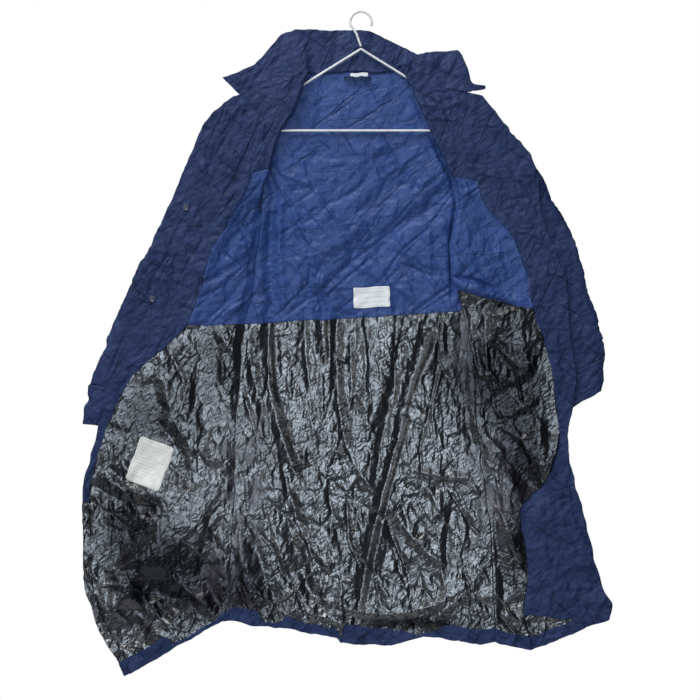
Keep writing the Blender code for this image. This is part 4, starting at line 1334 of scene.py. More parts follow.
def shades(tree, place, dark, light, size):
    """Base colour that drifts between two shades in patches of one size."""
    mask = placed(tree, PATCHES, Vector=place["Object"], Size=size, Soft=0.2, Level=0.5)
    return mixed(tree, mask.outputs["Mask"], dark, light)


def painted_crease_shade(tree, colour, crease, share):
    """Painted shade: the colour, darker by a share where a crease is, standing for the shade that a crease
    holds.
    """
    return mixed(tree, times(tree, crease, share), colour, (0.004, 0.006, 0.014))


def stitched(tree, from_edge, half_width, pitch, share):
    """1 on the stitches of a line at a distance from the edge, and 0 beside and between them."""
    off_line = math_node(tree, "ABSOLUTE", math_node(tree, "SUBTRACT", marked(tree, "edge"), from_edge))
    along = math_node(tree, "FRACT", math_node(tree, "DIVIDE", marked(tree, "run"), pitch))
    on_line, dash = (math_node(tree, "LESS_THAN", *pair) for pair in ((off_line, half_width), (along, share)))
    return times(tree, on_line, dash)


def begin(name, colour, roughness, sheen=0.0, specular=0.5):
    """A material with its even values set, its tree, its shader and its texture coordinates."""
    made = plain_material(name, colour, roughness)
    shader = made.node_tree.nodes["Principled BSDF"]
    shader.inputs["Sheen Weight"].default_value = sheen
    shader.inputs["Sheen Roughness"].default_value = 0.35
    shader.inputs["Specular IOR Level"].default_value = specular
    return made, made.node_tree, shader, put(made.node_tree, "ShaderNodeTexCoord").outputs


def finish(tree, shader, colour, height):
    """Feeds the base colour, and a height in metres through a Bump node."""
    tree.links.new(colour, shader.inputs["Base Color"])
    bump = put(tree, "ShaderNodeBump", {"Height": height, "Strength": 1.0, "Distance": 1.0})
    tree.links.new(bump.outputs["Normal"], shader.inputs["Normal"])


print("every finish gives a colour and a height in metres")


# %% Coating
def coating_finish():
    """Near black, rubbed by the wear mark, with fine upright crinkles. A second mark takes its mirror away:
    partly a duller coating, partly painted shade.
    """
    made, tree, shader, place = begin("black coating", (0.004, 0.005, 0.008), 0.26, specular=1.0)
    shader.inputs["IOR"].default_value = 1.75
    ground = shades(tree, place, (0.002, 0.0025, 0.004), (0.004, 0.005, 0.008), 0.07)
    rubbed = placed(tree, PATCHES, Vector=place["Object"], Size=0.03, Level=0.5, Soft=0.09)
    share = times(tree, marked(tree, "wear"), rubbed.outputs["Mask"])
    smear = placed(tree, PATCHES, Vector=place["Object"], Size=0.05, Level=0.5, Soft=0.25)
    rough = between(tree, smear.outputs["Mask"], 0.0, 1.0, 0.25, 0.34)
    tree.links.new(math_node(tree, "MULTIPLY_ADD", share, 0.18, rough), shader.inputs["Roughness"])
    # Painted shade in part: where this mark is high, the coating mirrors almost nothing and turns black.
    tree.links.new(times(tree, marked(tree, "dull_and_shade"), 0.78), shader.inputs["Metallic"])
    upright = {"Facet": 0.006, "Slope": 0.115, "Cut": 0.0003, "Lean": 0.06, "Stretch": 2.3}
    fine = placed(tree, CRINKLES, Vector=place["Object"], **upright)
    finish(tree, shader, mixed(tree, share, ground, (0.028, 0.021, 0.036)), fine.outputs["Height"])
    return made


COATING = coating_finish()
print(COATING.name, "has", len(COATING.node_tree.nodes), "nodes")


# %% Satin and nylon
def satin_finish():
    """Two blues, with painted shade in the creases, and a fine weave."""
    made, tree, shader, place = begin("blue satin", (0.024, 0.062, 0.22), 0.38, sheen=0.02, specular=0.22)
    fine = placed(tree, CRINKLES, Vector=place["Object"], Facet=0.014, Slope=0.15, Cut=0.0012, Lean=0.75)
    ground = shades(tree, place, (0.028, 0.062, 0.205), (0.043, 0.086, 0.265), 0.09)
    thread = placed(tree, WEAVE, Cloth=place["UV"], Thread=0.0006, Height=0.00003)
    height = math_node(tree, "ADD", fine.outputs["Height"], thread.outputs["Height"])
    # Painted shade: the blue is darkened along the fine creases.
    finish(tree, shader, painted_crease_shade(tree, ground, fine.outputs["Crease"], 0.4), height)
    return made


def nylon_finish():
    """Two navies, with painted shade in the creases, a weave and a line of stitches along the edge."""
    made, tree, shader, place = begin("navy nylon", (0.022, 0.038, 0.11), 0.5, sheen=0.02, specular=0.12)
    fine = placed(tree, CRINKLES, Vector=place["Object"], Facet=0.011, Slope=0.18, Cut=0.0014, Lean=0.3)
    ground = shades(tree, place, (0.022, 0.038, 0.105), (0.034, 0.052, 0.135), 0.05)
    # Painted shade: the navy is darkened along the fine creases.
    ground = painted_crease_shade(tree, ground, fine.outputs["Crease"], 0.6)
    stitch = stitched(tree, 0.006, 0.0005, 0.0036, 0.72)
    thread = placed(tree, WEAVE, Cloth=place["UV"], Thread=0.0007, Height=0.00004)
    height = math_node(tree, "ADD", fine.outputs["Height"], thread.outputs["Height"])
    height = math_node(tree, "MULTIPLY_ADD", stitch, 0.0004, height)
    finish(tree, shader, mixed(tree, stitch, ground, (0.040, 0.056, 0.14)), height)
    return made


SATIN, NYLON = satin_finish(), nylon_finish()
print("cloths:", SATIN.name, "and", NYLON.name)


# %% Labels
def label_finish(name, colour, rules, spacing, margin):
    """Woven label tape with faint ruled lines across it, each ending between the two rules, and
    inside its edge a line of stitches."""
    made, tree, shader, place = begin(name, colour, 0.5, sheen=0.1, specular=0.25)
    ground = shades(tree, place, [0.88 * channel for channel in colour], colour, 0.02)
    parts = put(tree, "ShaderNodeSeparateXYZ", {0: place["UV"]})
    place_down = math_node(tree, "DIVIDE", parts.outputs[1], spacing)
    line = math_node(tree, "LESS_THAN", math_node(tree, "FRACT", place_down), 0.0006 / spacing)
    row = math_node(tree, "FLOOR", place_down)
    random_end = put(tree, "ShaderNodeTexWhiteNoise", {"W": row}, noise_dimensions="1D")
    reach = between(tree, random_end.outputs["Value"], 0.0, 1.0, *rules)
    within = math_node(tree, "LESS_THAN", parts.outputs[0], reach)
    off_edge = math_node(tree, "GREATER_THAN", marked(tree, "edge"), margin)
    inside = times(tree, off_edge, within)
    ruled = times(tree, times(tree, line, inside), 0.55)
    stitch = times(tree, stitched(tree, 0.0028, 0.0004, 0.0026, 0.6), 0.5)
    colour = mixed(tree, math_node(tree, "MAXIMUM", ruled, stitch), ground, (0.16, 0.17, 0.20))
    thread = placed(tree, WEAVE, Cloth=place["UV"], Thread=0.0005, Height=0.00006)
    fine = placed(tree, CRINKLES, Vector=place["Object"], Facet=0.02, Slope=0.05, Cut=0.0001)
    height = math_node(tree, "ADD", thread.outputs["Height"], fine.outputs["Height"])
    finish(tree, shader, colour, height)
    return made


NAME_LABEL = label_finish("white name label", (0.98, 0.98, 0.97), (0.060, 0.064), 0.0095, 0.005)
CARE_LABEL = label_finish("cream care label", (0.95, 0.92, 0.84), (0.026, 0.060), 0.0062, 0.009)
print("labels:", NAME_LABEL.name, "and", CARE_LABEL.name)


# %% Wire and buttons
def moulded_finish(name, gloss, shine, dark, light, size, grain, depth):
    """Plastic in two shades, with a grain of one scale and depth on its skin."""
    made, tree, shader, place = begin(name, light, gloss, specular=shine)
    skin = noise(tree, place["Object"], grain, 2.0)
    height = times(tree, skin.outputs[0], depth)
    finish(tree, shader, shades(tree, place, dark, light, size), height)
    return made


WIRE_SHADES = (0.70, 0.70, 0.68), (0.84, 0.84, 0.83)
BUTTON_SHADES = (0.020, 0.026, 0.044), (0.048, 0.060, 0.092)
WIRE = moulded_finish("white wire coating", 0.3, 0.5, *WIRE_SHADES, 0.012, 260.0, 0.0002)
BUTTON = moulded_finish("dark button", 0.26, 0.6, *BUTTON_SHADES, 0.004, 900.0, 0.00008)
print("small parts:", WIRE.name, "and", BUTTON.name)

# %% [markdown]
# ## Cutting the pieces out of the panels
# Shell, lining, facing and hem band of a panel are cut from the same grid, each a little in front
# of the one before. Their points then lie over each other exactly, so nothing pokes through.
# Cloths made one by one and laid on each other would need a gap as deep as their creases differ.


# %% Layers
SHELL_WALL, SKIN_WALL, SEAM_GAP = 1.5 * MM, 1.0 * MM, 0.3 * MM
LAYER_OUT = SEAM_GAP + SKIN_WALL


def cut(rows, columns, *blocks):
    """Mask of 2 by 2 blocks that lie in any of the boxes (first row, last row, first, last column)."""
    cells = np.zeros((rows // 2, columns // 2), bool)
    for top, bottom, first, last in blocks:
        cells[top // 2 : bottom // 2, first // 2 : last // 2] = True
    return cells


def tucked(points, cells):
    """Rim points of a piece moved in by the seam gap, so that its edge stands clear of the next."""
    fine = np.repeat(np.repeat(cells, 2, axis=0), 2, axis=1).astype(float)
    count, total = np.zeros(points.shape[:2]), np.zeros(points.shape)
    centre = (points[1:, 1:] + points[:-1, 1:] + points[1:, :-1] + points[:-1, :-1]) / 4
    for down in (0, 1):
        for across in (0, 1):
            part = (slice(down, down + fine.shape[0]), slice(across, across + fine.shape[1]))
            count[part] += fine
            total[part] += centre * fine[..., None]
    inward = total / np.maximum(count, 1)[..., None] - points
    length = np.maximum(np.linalg.norm(inward, axis=-1, keepdims=True), 1e-9)
    rim = ((count > 0) & (count < 4))[..., None]
    return np.where(rim, points + inward / length * SEAM_GAP, points)


def lay(name, panel, out, cells, finish, marks=None):
    """A layer on a panel: a seam gap out from its points, and its cloth's thickness beyond that."""
    base = tucked(panel, cells)
    near, far = base + out * LAYER_OUT, base + out * SEAM_GAP
    return cloth(name, near, far, [finish, finish], cells, marks=marks)


print("layers are", [round(1000 * wall, 1) for wall in (SHELL_WALL, SKIN_WALL)], "mm thick")

# %% Where the coating is worn, and where it mirrors little, partly as painted shade
# x and z of the middle, half width and half height in mm, and share of the full effect
WORN_PLACES = """
x z wide high share
-228  -870 46 90 1.5
-250 -1090 50 80 1.5
 262  -905 50 90 1.5
 200  -640 22 70 1.5
"""
# Where the coating mirrors little: a duller coating, and in the last two rows painted shade, under the left
# lining's hem and under a fold above the hem band.
DULL_AND_SHADE_PLACES = """
x z wide high share
 285  -700  75 140  1.2
 318  -945  45 170  1.1
 205  -690  40 110  0.6
-372 -1087  85  80  1.3
-385 -1000 120  90 0.45
-450  -960  60  90  0.7
-230 -1100  80  60  1.0
-277  -650  45  90  0.7
 150  -650  28  80  0.5
-400  -770  90  75  0.8
 270  -562  32  16  0.9
 110 -1162 110  15  1.2
"""
WORN, DULL_AND_SHADE = table(WORN_PLACES), table(DULL_AND_SHADE_PLACES)


def in_places(places, x, z):
    """Bells of the given middles, widths and heights, added up and held from 0 to 1."""
    total = np.zeros_like(x)
    for middle_x, middle_z, wide, high, share in zip(*places.values()):
        total += share * np.exp(-(((x - middle_x) / wide) ** 2) - ((z - middle_z) / high) ** 2)
    return np.clip(total, 0, 1)


def coating_marks(panel):
    """The marks that the coating's finish reads: rubbed at the seams, and mirroring little in the listed
    places, partly a duller coating and partly painted shade.
    """
    x, z = panel[..., 0], panel[..., 2]
    return {"wear": in_places(WORN, x, z), "dull_and_shade": in_places(DULL_AND_SHADE, x, z)}


print("places worn:", len(WORN["x"]), "and dull:", len(DULL_AND_SHADE["x"]))

# %% How much of the hem and the facing shows
HEM_SHOWN = """
x share
-365 1.00
-358 0.35
-275 0.35
-250 0.70
-240 1.00
-196 1.00
-186 0.30
-154 0.30
-144 0.70
 -49 0.50
 -38 0.25
 -30 1.00
  60 0.85
  84 0.60
 105 0.35
 125 0.30
 145 0.55
 160 0.85
 175 1.00
"""
HEM_SHARE = table(HEM_SHOWN)
FOOT_START, FOOT_END = 313 * MM, 410 * MM


def band_shown(panel, top):
    """Blocks of the hem band that show, from the hem up: crumpled cloth hides its upper part."""
    x = panel[top + 1 :: 2, 1::2, 0]
    share = np.interp(x, HEM_SHARE["x"], HEM_SHARE["share"])
    depth = (np.arange(len(x))[:, None] + 0.5) / len(x)
    shown = np.ones((panel.shape[0] // 2, panel.shape[1] // 2), bool)
    shown[top // 2 :] = depth > 1 - share
    return shown


def facing_foot(panel, top, bottom):
    """Blocks below the left facing's end that it still covers: more of them towards the edge."""
    x = panel[top + 1 : bottom : 2, 1::2, 0]
    depth = (np.arange(len(x))[:, None] + 0.5) / len(x)
    covered = np.zeros((panel.shape[0] // 2, panel.shape[1] // 2), bool)
    covered[top // 2 : bottom // 2] = depth < (x - FOOT_START) / (FOOT_END - FOOT_START)
    return covered


print("the left facing reaches the hem band from x", round(1000 * FOOT_END), "mm on")


# %% Attaching and measuring
def show(piece, slot, replaces, flat=None, area=None, **others):
    """The piece rides with the coat and stands for its solids, which are hidden; slot and flat are not used.
    """
    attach(piece, "root")
    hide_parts(*replaces)
    return piece


def edge_marks(panel, edge_column):
    """For stitches: distance from an edge column along each row, and the run down that column."""
    across, down = lengths(panel, 1), lengths(panel, 0)
    return {
        "edge": np.abs(across - across[:, edge_column : edge_column + 1]),
        "run": np.repeat(down[:, edge_column : edge_column + 1], panel.shape[1], axis=1),
    }


def hem_marks(panel, top):
    """For stitches along a hem: distance down from the band's first row, and the run across."""
    down = np.pad(lengths(panel[top:], 0), ((top, 0), (0, 0)))
    return {"edge": down, "run": lengths(panel, 1)}


def navy_above(piece, height):
    """Above a height the shell is covered on its near side, so its seam edges show navy there."""
    faces = piece.data.polygons
    centres, slots = np.empty(3 * len(faces)), np.empty(len(faces), np.int32)
    faces.foreach_get("center", centres)
    faces.foreach_get("material_index", slots)
    slots[centres[2::3] > height] = 1
    faces.foreach_set("material_index", slots)


def area_of(piece):
    """Half the area of a thin closed cloth: what it would cover laid flat."""
    sizes = np.empty(len(piece.data.polygons))
    piece.data.polygons.foreach_get("area", sizes)
    return sizes.sum() / 2


print("a row of stitches needs", ", ".join(hem_marks(back, BACK_BAND_TOP)))

# %% Fronts, cut and laid
FRONT_CUTS = {"right": ((0.50, 1.15), 0.26), "left": ((0.42, 1.10), 0.22)}


def make_front(side, panel, out, down, facing_end, lining_start):
    """The shell of a front, and its facing, lining and hem band cut from the same grid."""
    rows, columns = panel.shape[0] - 1, panel.shape[1] - 1
    marks = dict(edge_marks(panel, columns), **coating_marks(panel))
    whole = np.ones((rows // 2, columns // 2), bool)
    far = far_side(panel, out, SHELL_WALL)
    shell = cloth(f"{side}_front_cloth", panel, far, [COATING, NYLON], whole, marks=marks)
    show(shell, "shell", [f"{side}_front_shell"], *FRONT_CUTS[side], rests_on=["hanger_bar"])
    underarm, lining_hem, band_top, hem = (KEY_ROWS[key] for key in (UNDERARM, LINING_HEM, HEM_BAND_TOP, HEM))
    faced_to, lined_from = (2 * int(np.searchsorted(down, end) // 2) for end in (facing_end, lining_start))
    covered = cut(rows, columns, (0, lined_from, 0, columns), (lined_from, faced_to, INNER, columns))
    if side == "left":
        covered |= facing_foot(panel, faced_to, band_top)
    facing = lay(f"{side}_facing_cloth", panel, out, covered, NYLON, marks)
    at_arm, below_arm = (lined_from, underarm, RETURN_STEPS, INNER), (underarm, lining_hem, 0, INNER)
    lined = cut(rows, columns, at_arm, below_arm)
    lining = lay(f"{side}_lining_cloth", panel, out, lined, SATIN, marks)
    banded = cut(rows, columns, (band_top, hem, 0, columns)) & band_shown(panel, band_top)
    stitches = hem_marks(panel, band_top)
    band = lay(f"{side}_hem_cloth", panel, out, banded, NYLON, stitches)
    return shell, facing, lining, band


SIDE_PIECES = {}
for side, panel, out, down in (
    ("right", right_front, right_out, RIGHT_ROWS),
    ("left", left_front, left_out, LEFT_ROWS),
):
    SIDE_PIECES[side] = make_front(side, panel, out, down, FACING_END[side], LINING_START[side])
    navy_above(SIDE_PIECES[side][0], -0.50)
    print(side, "areas in square metres:", [round(area_of(piece), 3) for piece in SIDE_PIECES[side]])

# %% Facings, front linings and hem bands attached to the coat
PANEL_CUTS = {
    ("right", 1): ("facing", "shell", (0.24, 1.15), 0.095),
    ("right", 2): ("front_lining", "lining", (0.14, 0.36), 0.025),
    ("right", 3): ("hem_band", "shell", (0.22, 0.035), 0.005),
    ("left", 1): ("facing", "shell", (0.22, 1.05), 0.10),
    ("left", 2): ("front_lining", "lining", (0.18, 0.34), 0.035),
    ("left", 3): ("hem_band", "shell", (0.24, 0.035), 0.007),
}
for (side, number), (node, slot, flat, area) in PANEL_CUTS.items():
    piece = SIDE_PIECES[side][number]
    show(piece, slot, [f"{side}_{node}"], flat, area, rests_on=[f"{side}_front_cloth"])
print("front pieces:", sum(len(pieces) for pieces in SIDE_PIECES.values()))

# %% Shell of the back
# Behind the lining the shell hangs 2 mm back and keeps every second row, as it doesn't show there
rows, columns = back.shape[0] - 1, back.shape[1] - 1
hidden_to = BACK_LINING_HEM - 12
from_top = np.arange(rows + 1)[:, None]
behind = 2.0 * MM * below(from_top, hidden_to + 2, 10) * beyond(from_top, 0, 12)
kept_rows = np.concatenate([np.arange(0, hidden_to, 2), np.arange(hidden_to, rows + 1)])
if len(kept_rows) % 2 == 0:
    kept_rows = np.delete(kept_rows, 1)
shell_points = (back - back_out * behind[..., None])[kept_rows]
far = far_side(shell_points, back_out[kept_rows], SHELL_WALL)
back_cloth = cloth("back_cloth", shell_points, far, [COATING, NYLON], marks=coating_marks(shell_points))
navy_above(back_cloth, -0.45)
BACK_NODES = ["back_shell", "back_right_side", "back_left_side", "right_shoulder", "left_shoulder"]
show(back_cloth, "shell", BACK_NODES, (0.56, 1.12), 0.53, rests_on=["hanger_bar"])
print("the back's shell covers", round(area_of(back_cloth), 3), "square metres")

# %% Lining and hem band of the back
lined = cut(rows, columns, (ARCH_STEPS, BACK_LINING_HEM, 0, columns))
back_lining = lay("back_lining_cloth", back, back_out, lined, SATIN)
show(back_lining, "lining", ["back_lining"], (0.48, 0.48), 0.19, rests_on=["back_cloth"])
banded = cut(rows, columns, (BACK_BAND_TOP, rows, 0, columns)) & band_shown(back, BACK_BAND_TOP)
stitches = hem_marks(back, BACK_BAND_TOP)
back_band = lay("back_hem_cloth", back, back_out, banded, NYLON, stitches)
show(back_band, "shell", ["back_hem_band"], (0.53, 0.034), 0.013, rests_on=["back_cloth"])
print("lining and band:", [round(area_of(piece), 3) for piece in (back_lining, back_band)], "square metres")

# %% [markdown]
# ## Collar
# The collar is two layers of nylon with a stiffener between them. It stands up at the back of the
# neck and spreads over both sides. Both of its layers move as one, so it is one thick cloth: a
# ruled surface between its seam and its outer edge, with the nylon's relief on it.

# %% Folds of the collar
COLLAR_FOLDS = """
-235 -135 -150  -75 6 9 3.5 0.6
-190 -120 -140  -60 5 9  -3 0.6
-125  -70  -95  -45 3 6   2 0.7
 100  -85  135  -95 3 7 2.5 0.7
 130  -85  200 -125 6 9 3.5 0.6
 -60  -60   20  -62 3 5 1.2 0.8
"""
COLLAR_CREASES = table(COLLAR_FOLDS, FOLD_COLUMNS)
print("folds of the collar:", len(COLLAR_CREASES["x0"]))


# %% Collar surface
COLLAR_WALL = 2.4 * MM


def collar_panel(across_steps=300, down_steps=36):
    """Straight rows from the outer edge to the seam, each at even lengths along the collar."""
    lines = [(COLLAR_PIECE[f"{edge}_x"], COLLAR_PIECE[f"{edge}_z"]) for edge in ("inner", "outer")]
    places = even_steps(lines, 0, len(COLLAR_PIECE["inner_x"]) - 1, across_steps)
    inner, outer = (
        np.stack([through(COLLAR_PIECE[f"{edge}_{axis}"], places) for axis in "xyz"], axis=-1)
        for edge in ("inner", "outer")
    )
    share = np.linspace(0, 1.022, down_steps + 1)[:, None, None]
    flat = sway(blend(outer[None], inner[None], share))
    flat[..., 1] -= 1.3 * MM * beyond(share[..., 0], 0.9, 0.1)
    normals = viewer_normals(flat)
    x, z = flat[..., 0], flat[..., 2]
    relief = 0.8 * nylon_relief(x, z) + folded(COLLAR_CREASES, x, z)
    behind_wire = below(np.abs(x), 95 * MM, 15 * MM)
    relief = limited(relief, blend(6 * MM, 1.6 * MM, behind_wire), 2.2 * MM)
    return flat + normals * relief[..., None], normals


collar_points, collar_out = collar_panel()
far = collar_points - collar_out * COLLAR_WALL
collar = cloth("collar_cloth", collar_points, far, [NYLON, NYLON], marks=hem_marks(collar_points, 0))
show(collar, "shell", ["collar"], (0.56, 0.10), 0.034, rests_on=["hanger_bar"])
print("collar area:", round(area_of(collar), 4))

# %% [markdown]
# ## Sleeves and cuffs
# The sleeves hang empty behind the fronts, so each is a flattened tube, open at both ends. A
# tube that is pressed flat by a simulation would lie much the same. The cuff is its own piece,
# on the same surface and a little further out.


# %% Sleeve surface
def sleeve_panel(sleeve, first, last, down_steps, sides=96):
    """Rings along the sleeve: a flattened oval between its outer and inner edges, with relief."""
    lines = [(sleeve[f"{edge}_x"], sleeve[f"{edge}_z"]) for edge in ("outer", "inner")]
    places = even_steps(lines, first, last, down_steps)
    at = {name: through(values, places)[:, None] for name, values in sleeve.items()}
    angle = np.linspace(0, 2 * math.pi, sides + 1)
    across = np.sign(np.cos(angle)) * np.abs(np.cos(angle)) ** 0.85
    deep = np.sign(np.sin(angle)) * np.abs(np.sin(angle)) ** 0.75
    across[-1], deep[-1] = across[0], deep[0] = 1, 0
    outer, inner = (
        np.stack([at[f"{edge}_{axis}"] for axis in "xyz"], axis=-1) for edge in ("outer", "inner")
    )
    centre = (outer + inner) / 2
    points = centre + (outer - inner) / 2 * across[None, :, None]
    points[..., 1] += at["half"] * deep[None, :]
    points = sway(points)
    reach = np.linalg.norm(outer - inner, axis=-1, keepdims=True) / 2
    ring_out = (points - centre) / reach
    ring_out[..., 1] = deep[None, :]
    ring_out /= np.linalg.norm(ring_out, axis=-1, keepdims=True)
    # The far side reads the relief half a metre away, so that it has creases of its own
    x, z = points[..., 0] + np.where(points[..., 1] > at["outer_y"], 0.5, 0.0), points[..., 2]
    relief = nylon_relief(x, z) + crumple(x, z, ((40, 3.0, 31),), 1.6, 25)
    relief = limited(relief, 2.2 * MM, 2.8 * MM) - 2 * MM
    fade = eased(np.linspace(0, down_steps, down_steps + 1) / 4)[:, None]
    return points + ring_out * (relief * fade)[..., None], ring_out


ring, ring_out = sleeve_panel(SLEEVES["right"], 0, 8, 2)
print("a cuff's ring is", round(float(lengths(ring, 1)[-1, -1]), 3), "m round")

# %% Sleeves and cuffs
SLEEVE_CUTS = {"right": ((0.42, 0.62), 0.155), "left": ((0.40, 0.60), 0.14)}
CUFF_CUTS = {"right": ((0.33, 0.075), None), "left": ((0.28, 0.07), None)}
CUFF_STATION, CUFF_PROUD = 7, 0.4 * MM


def tube(name, sleeve, first, last, down_steps, proud, from_end):
    """A closed ring of cloth along a stretch of sleeve; stitches run near its end or its start."""
    points, out = sleeve_panel(sleeve, first, last, down_steps)
    down = lengths(points, 0)
    marks = {"edge": down[-1:] - down if from_end else down, "run": lengths(points, 1)}
    near, far = points + out * proud, points - out * SHELL_WALL
    return cloth(name, near, far, [NYLON, NYLON], ring=True, marks=marks)


for side, sleeve in SLEEVES.items():
    piece = tube(f"{side}_sleeve_cloth", sleeve, 0, CUFF_STATION, 170, 0, True)
    nodes = [f"{side}_{part}" for part in ("sleeve_head", "sleeve", "forearm")]
    show(piece, "shell", nodes, *SLEEVE_CUTS[side], rests_on=[f"{side}_front_cloth"])
    cuff = tube(f"{side}_cuff_cloth", sleeve, CUFF_STATION + 0.008, 8, 24, CUFF_PROUD, False)
    show(cuff, "shell", [f"{side}_cuff"], *CUFF_CUTS[side], rests_on=[f"{side}_sleeve_cloth"])
    print(side, "sleeve and cuff areas:", round(area_of(piece), 3), round(area_of(cuff), 3))

# %% [markdown]
# ## Loop and labels
# A short navy strap is sewn to the neck seam at both ends and stands a little away from it. A
# white label is wrapped round it. A larger label is sewn to the lining's hem and a third to the
# right front. They are left without text. A Shrinkwrap modifier would press a label into every
# crease under it. A real one is stiffer, so it takes the foremost depth near each point, evened
# out.


# %% Points that lie on a panel
def places_on(panel, x, z, first_column=0):
    """Rows and columns of a panel whose bilinear point has the wanted x and z: nearest of every
    eighth grid point first, then Newton's steps."""
    flat = panel[..., [0, 2]]
    target = np.stack([x, z], axis=-1)
    rough = flat[:-8:8, first_column:-4:4]
    gap = np.linalg.norm(rough - target[..., None, None, :], axis=-1).reshape(*x.shape, -1)
    nearest = gap.argmin(axis=-1)
    rows = (nearest // rough.shape[1]) * 8.0
    columns = (nearest % rough.shape[1]) * 4.0 + first_column
    for _ in range(25):
        top = np.clip(np.floor(rows).astype(int), 0, flat.shape[0] - 2)
        left = np.clip(np.floor(columns).astype(int), first_column, flat.shape[1] - 2)
        down, across = (rows - top)[..., None], (columns - left)[..., None]
        a, b = flat[top, left], flat[top, left + 1]
        c, d = flat[top + 1, left], flat[top + 1, left + 1]
        miss = target - blend(blend(a, b, across), blend(c, d, across), down)
        by_row, by_column = blend(c - a, d - b, across), blend(b - a, d - c, down)
        scale = by_row[..., 0] * by_column[..., 1] - by_row[..., 1] * by_column[..., 0]
        step_row = (miss[..., 0] * by_column[..., 1] - miss[..., 1] * by_column[..., 0]) / scale
        step_column = (by_row[..., 0] * miss[..., 1] - by_row[..., 1] * miss[..., 0]) / scale
        rows = np.clip(rows + np.clip(step_row, -6, 6), 0, flat.shape[0] - 1.001)
        columns = np.clip(columns + np.clip(step_column, -6, 6), first_column, flat.shape[1] - 1.001)
    return rows, columns


def read_at(values, rows, columns):
    """Bilinear values of a panel's grid at fractional rows and columns."""
    top, left = np.floor(rows).astype(int), np.floor(columns).astype(int)
    down, across = (rows - top)[..., None], (columns - left)[..., None]
    upper = blend(values[top, left], values[top, left + 1], across)
    lower = blend(values[top + 1, left], values[top + 1, left + 1], across)
    return blend(upper, lower, down)


def nearby(values, reach, pick):
    """What pick makes of the values within reach cells, along one axis and then along the other."""
    for axis in (0, 1):
        pad = [(reach, reach) if axis == other else (0, 0) for other in (0, 1)]
        padded, cells = np.pad(values, pad, mode="edge"), np.arange(values.shape[axis])
        values = pick([np.take(padded, cells + step, axis=axis) for step in range(2 * reach + 1)], axis=0)
    return values


spot = places_on(back, np.array([0.02]), np.array([-0.54]))
print("the back at the name label:", np.round(1000 * read_at(back, *spot)[0], 1), "mm")


# %% Labels, laid on a panel
LABEL_STEPS = 41


def label_on(name, panel, out, centre, size, tilt, under, finish, corner, first_column=0):
    """A stiff label with rounded corners. Its depth is the foremost of the panel's near each point,
    smoothed, so that it bridges small creases and follows large ones."""
    even = np.linspace(-0.5, 0.5, LABEL_STEPS)
    across, down = np.meshgrid(even, -even)
    wide, high = across * size[0], down * size[1]
    over_x = np.maximum(np.abs(wide) - size[0] / 2 + corner, 0) / corner
    over_z = np.maximum(np.abs(high) - size[1] / 2 + corner, 0) / corner
    wide -= np.sign(wide) * corner * over_x * (1 - np.sqrt(1 - over_z**2 / 2))
    high -= np.sign(high) * corner * over_z * (1 - np.sqrt(1 - over_x**2 / 2))
    edge = np.minimum(size[0] / 2 - np.abs(wide), size[1] / 2 - np.abs(high)) * MM
    wide += 0.7 * np.sin(high / 7.0) + 0.3 * np.sin(high / 2.7)
    high += 0.6 * np.sin(wide / 9.0)
    turn = math.radians(tilt)
    x = (centre[0] + wide * math.cos(turn) - high * math.sin(turn)) * MM
    z = (centre[1] + wide * math.sin(turn) + high * math.cos(turn)) * MM
    rows, columns = places_on(panel, x, z, first_column)
    depth = read_at(panel + out * under, rows, columns)[..., 1]
    depth = nearby(nearby(depth, 2, np.min), 2, np.mean) - 0.3 * MM
    near = np.stack([x, depth - 0.6 * MM, z], axis=-1)
    far = np.stack([x, depth, z], axis=-1)
    return cloth(name, near, far, [finish, finish], marks={"edge": edge, "run": x + z})


name_label = label_on(
    "name_label_cloth", back, back_out, (20.5, -540.5), (69, 39), 3, LAYER_OUT, NAME_LABEL, 2.0
)
show(name_label, "label", ["name_label"], (0.069, 0.039), rests_on=["back_lining_cloth"])
care_label = label_on(
    "care_label_cloth", right_front, right_out, (-401, -857), (68, 88), -21, 0.3 * MM, CARE_LABEL, 6.0,
    INNER - INNER_STEPS,
)
show(care_label, "label", ["care_label"], (0.068, 0.088), rests_on=["right_front_cloth"])


# %% Neck loop
def strap(name, middle, half, bow, high, back_y, thick, mats, rise=0.0, lines=(60, 6)):
    """A strap along X: its depth is back_y - bow (1 - across^4), its height rises along it."""
    across, down = np.meshgrid(np.linspace(-1, 1, lines[0] + 1), np.linspace(0.5, -0.5, lines[1] + 1))
    x = (middle[0] + across * half) * MM
    z = (middle[1] + down * high + rise * across + 0.35 * np.sin(5 * across)) * MM
    y = (back_y - bow * (1 - across**4) + 0.25 * np.cos(7 * across + 2 * down)) * MM
    near = np.stack([x, y, z], axis=-1)
    far = near + np.array([0, thick * MM, 0])
    edge = (0.5 - np.abs(down)) * high * MM
    return cloth(name, near, far, mats, marks={"edge": edge + 4.5 * MM, "run": x})


loop = strap("neck_loop_cloth", (-6.5, -124.5), 25.5, 4.3, 8, 2.9, 1.2, [NYLON, NYLON])
show(loop, "shell", ["neck_loop"], (0.052, 0.0105), rests_on=["back_cloth"])
tag_mats = [NAME_LABEL, NAME_LABEL]
tag = strap("neck_tag_cloth", (-3.3, -118.2), 16.7, 1.0, 7, -0.6, 0.6, tag_mats, rise=0.9, lines=(40, 8))
show(tag, "label", ["neck_loop_label"], (0.034, 0.0101), rests_on=["neck_loop_cloth"])

# %% [markdown]
# ## Buttons
# The fastening is covered, but two backing buttons show on the right facing, with the front
# buttons behind them. A button is a profile turned round its axis, with four holes sunk in it. A
# Screw modifier turns a profile too, but leaves the holes to be cut.


# %% Turned buttons
BUTTON_SIDES = 48
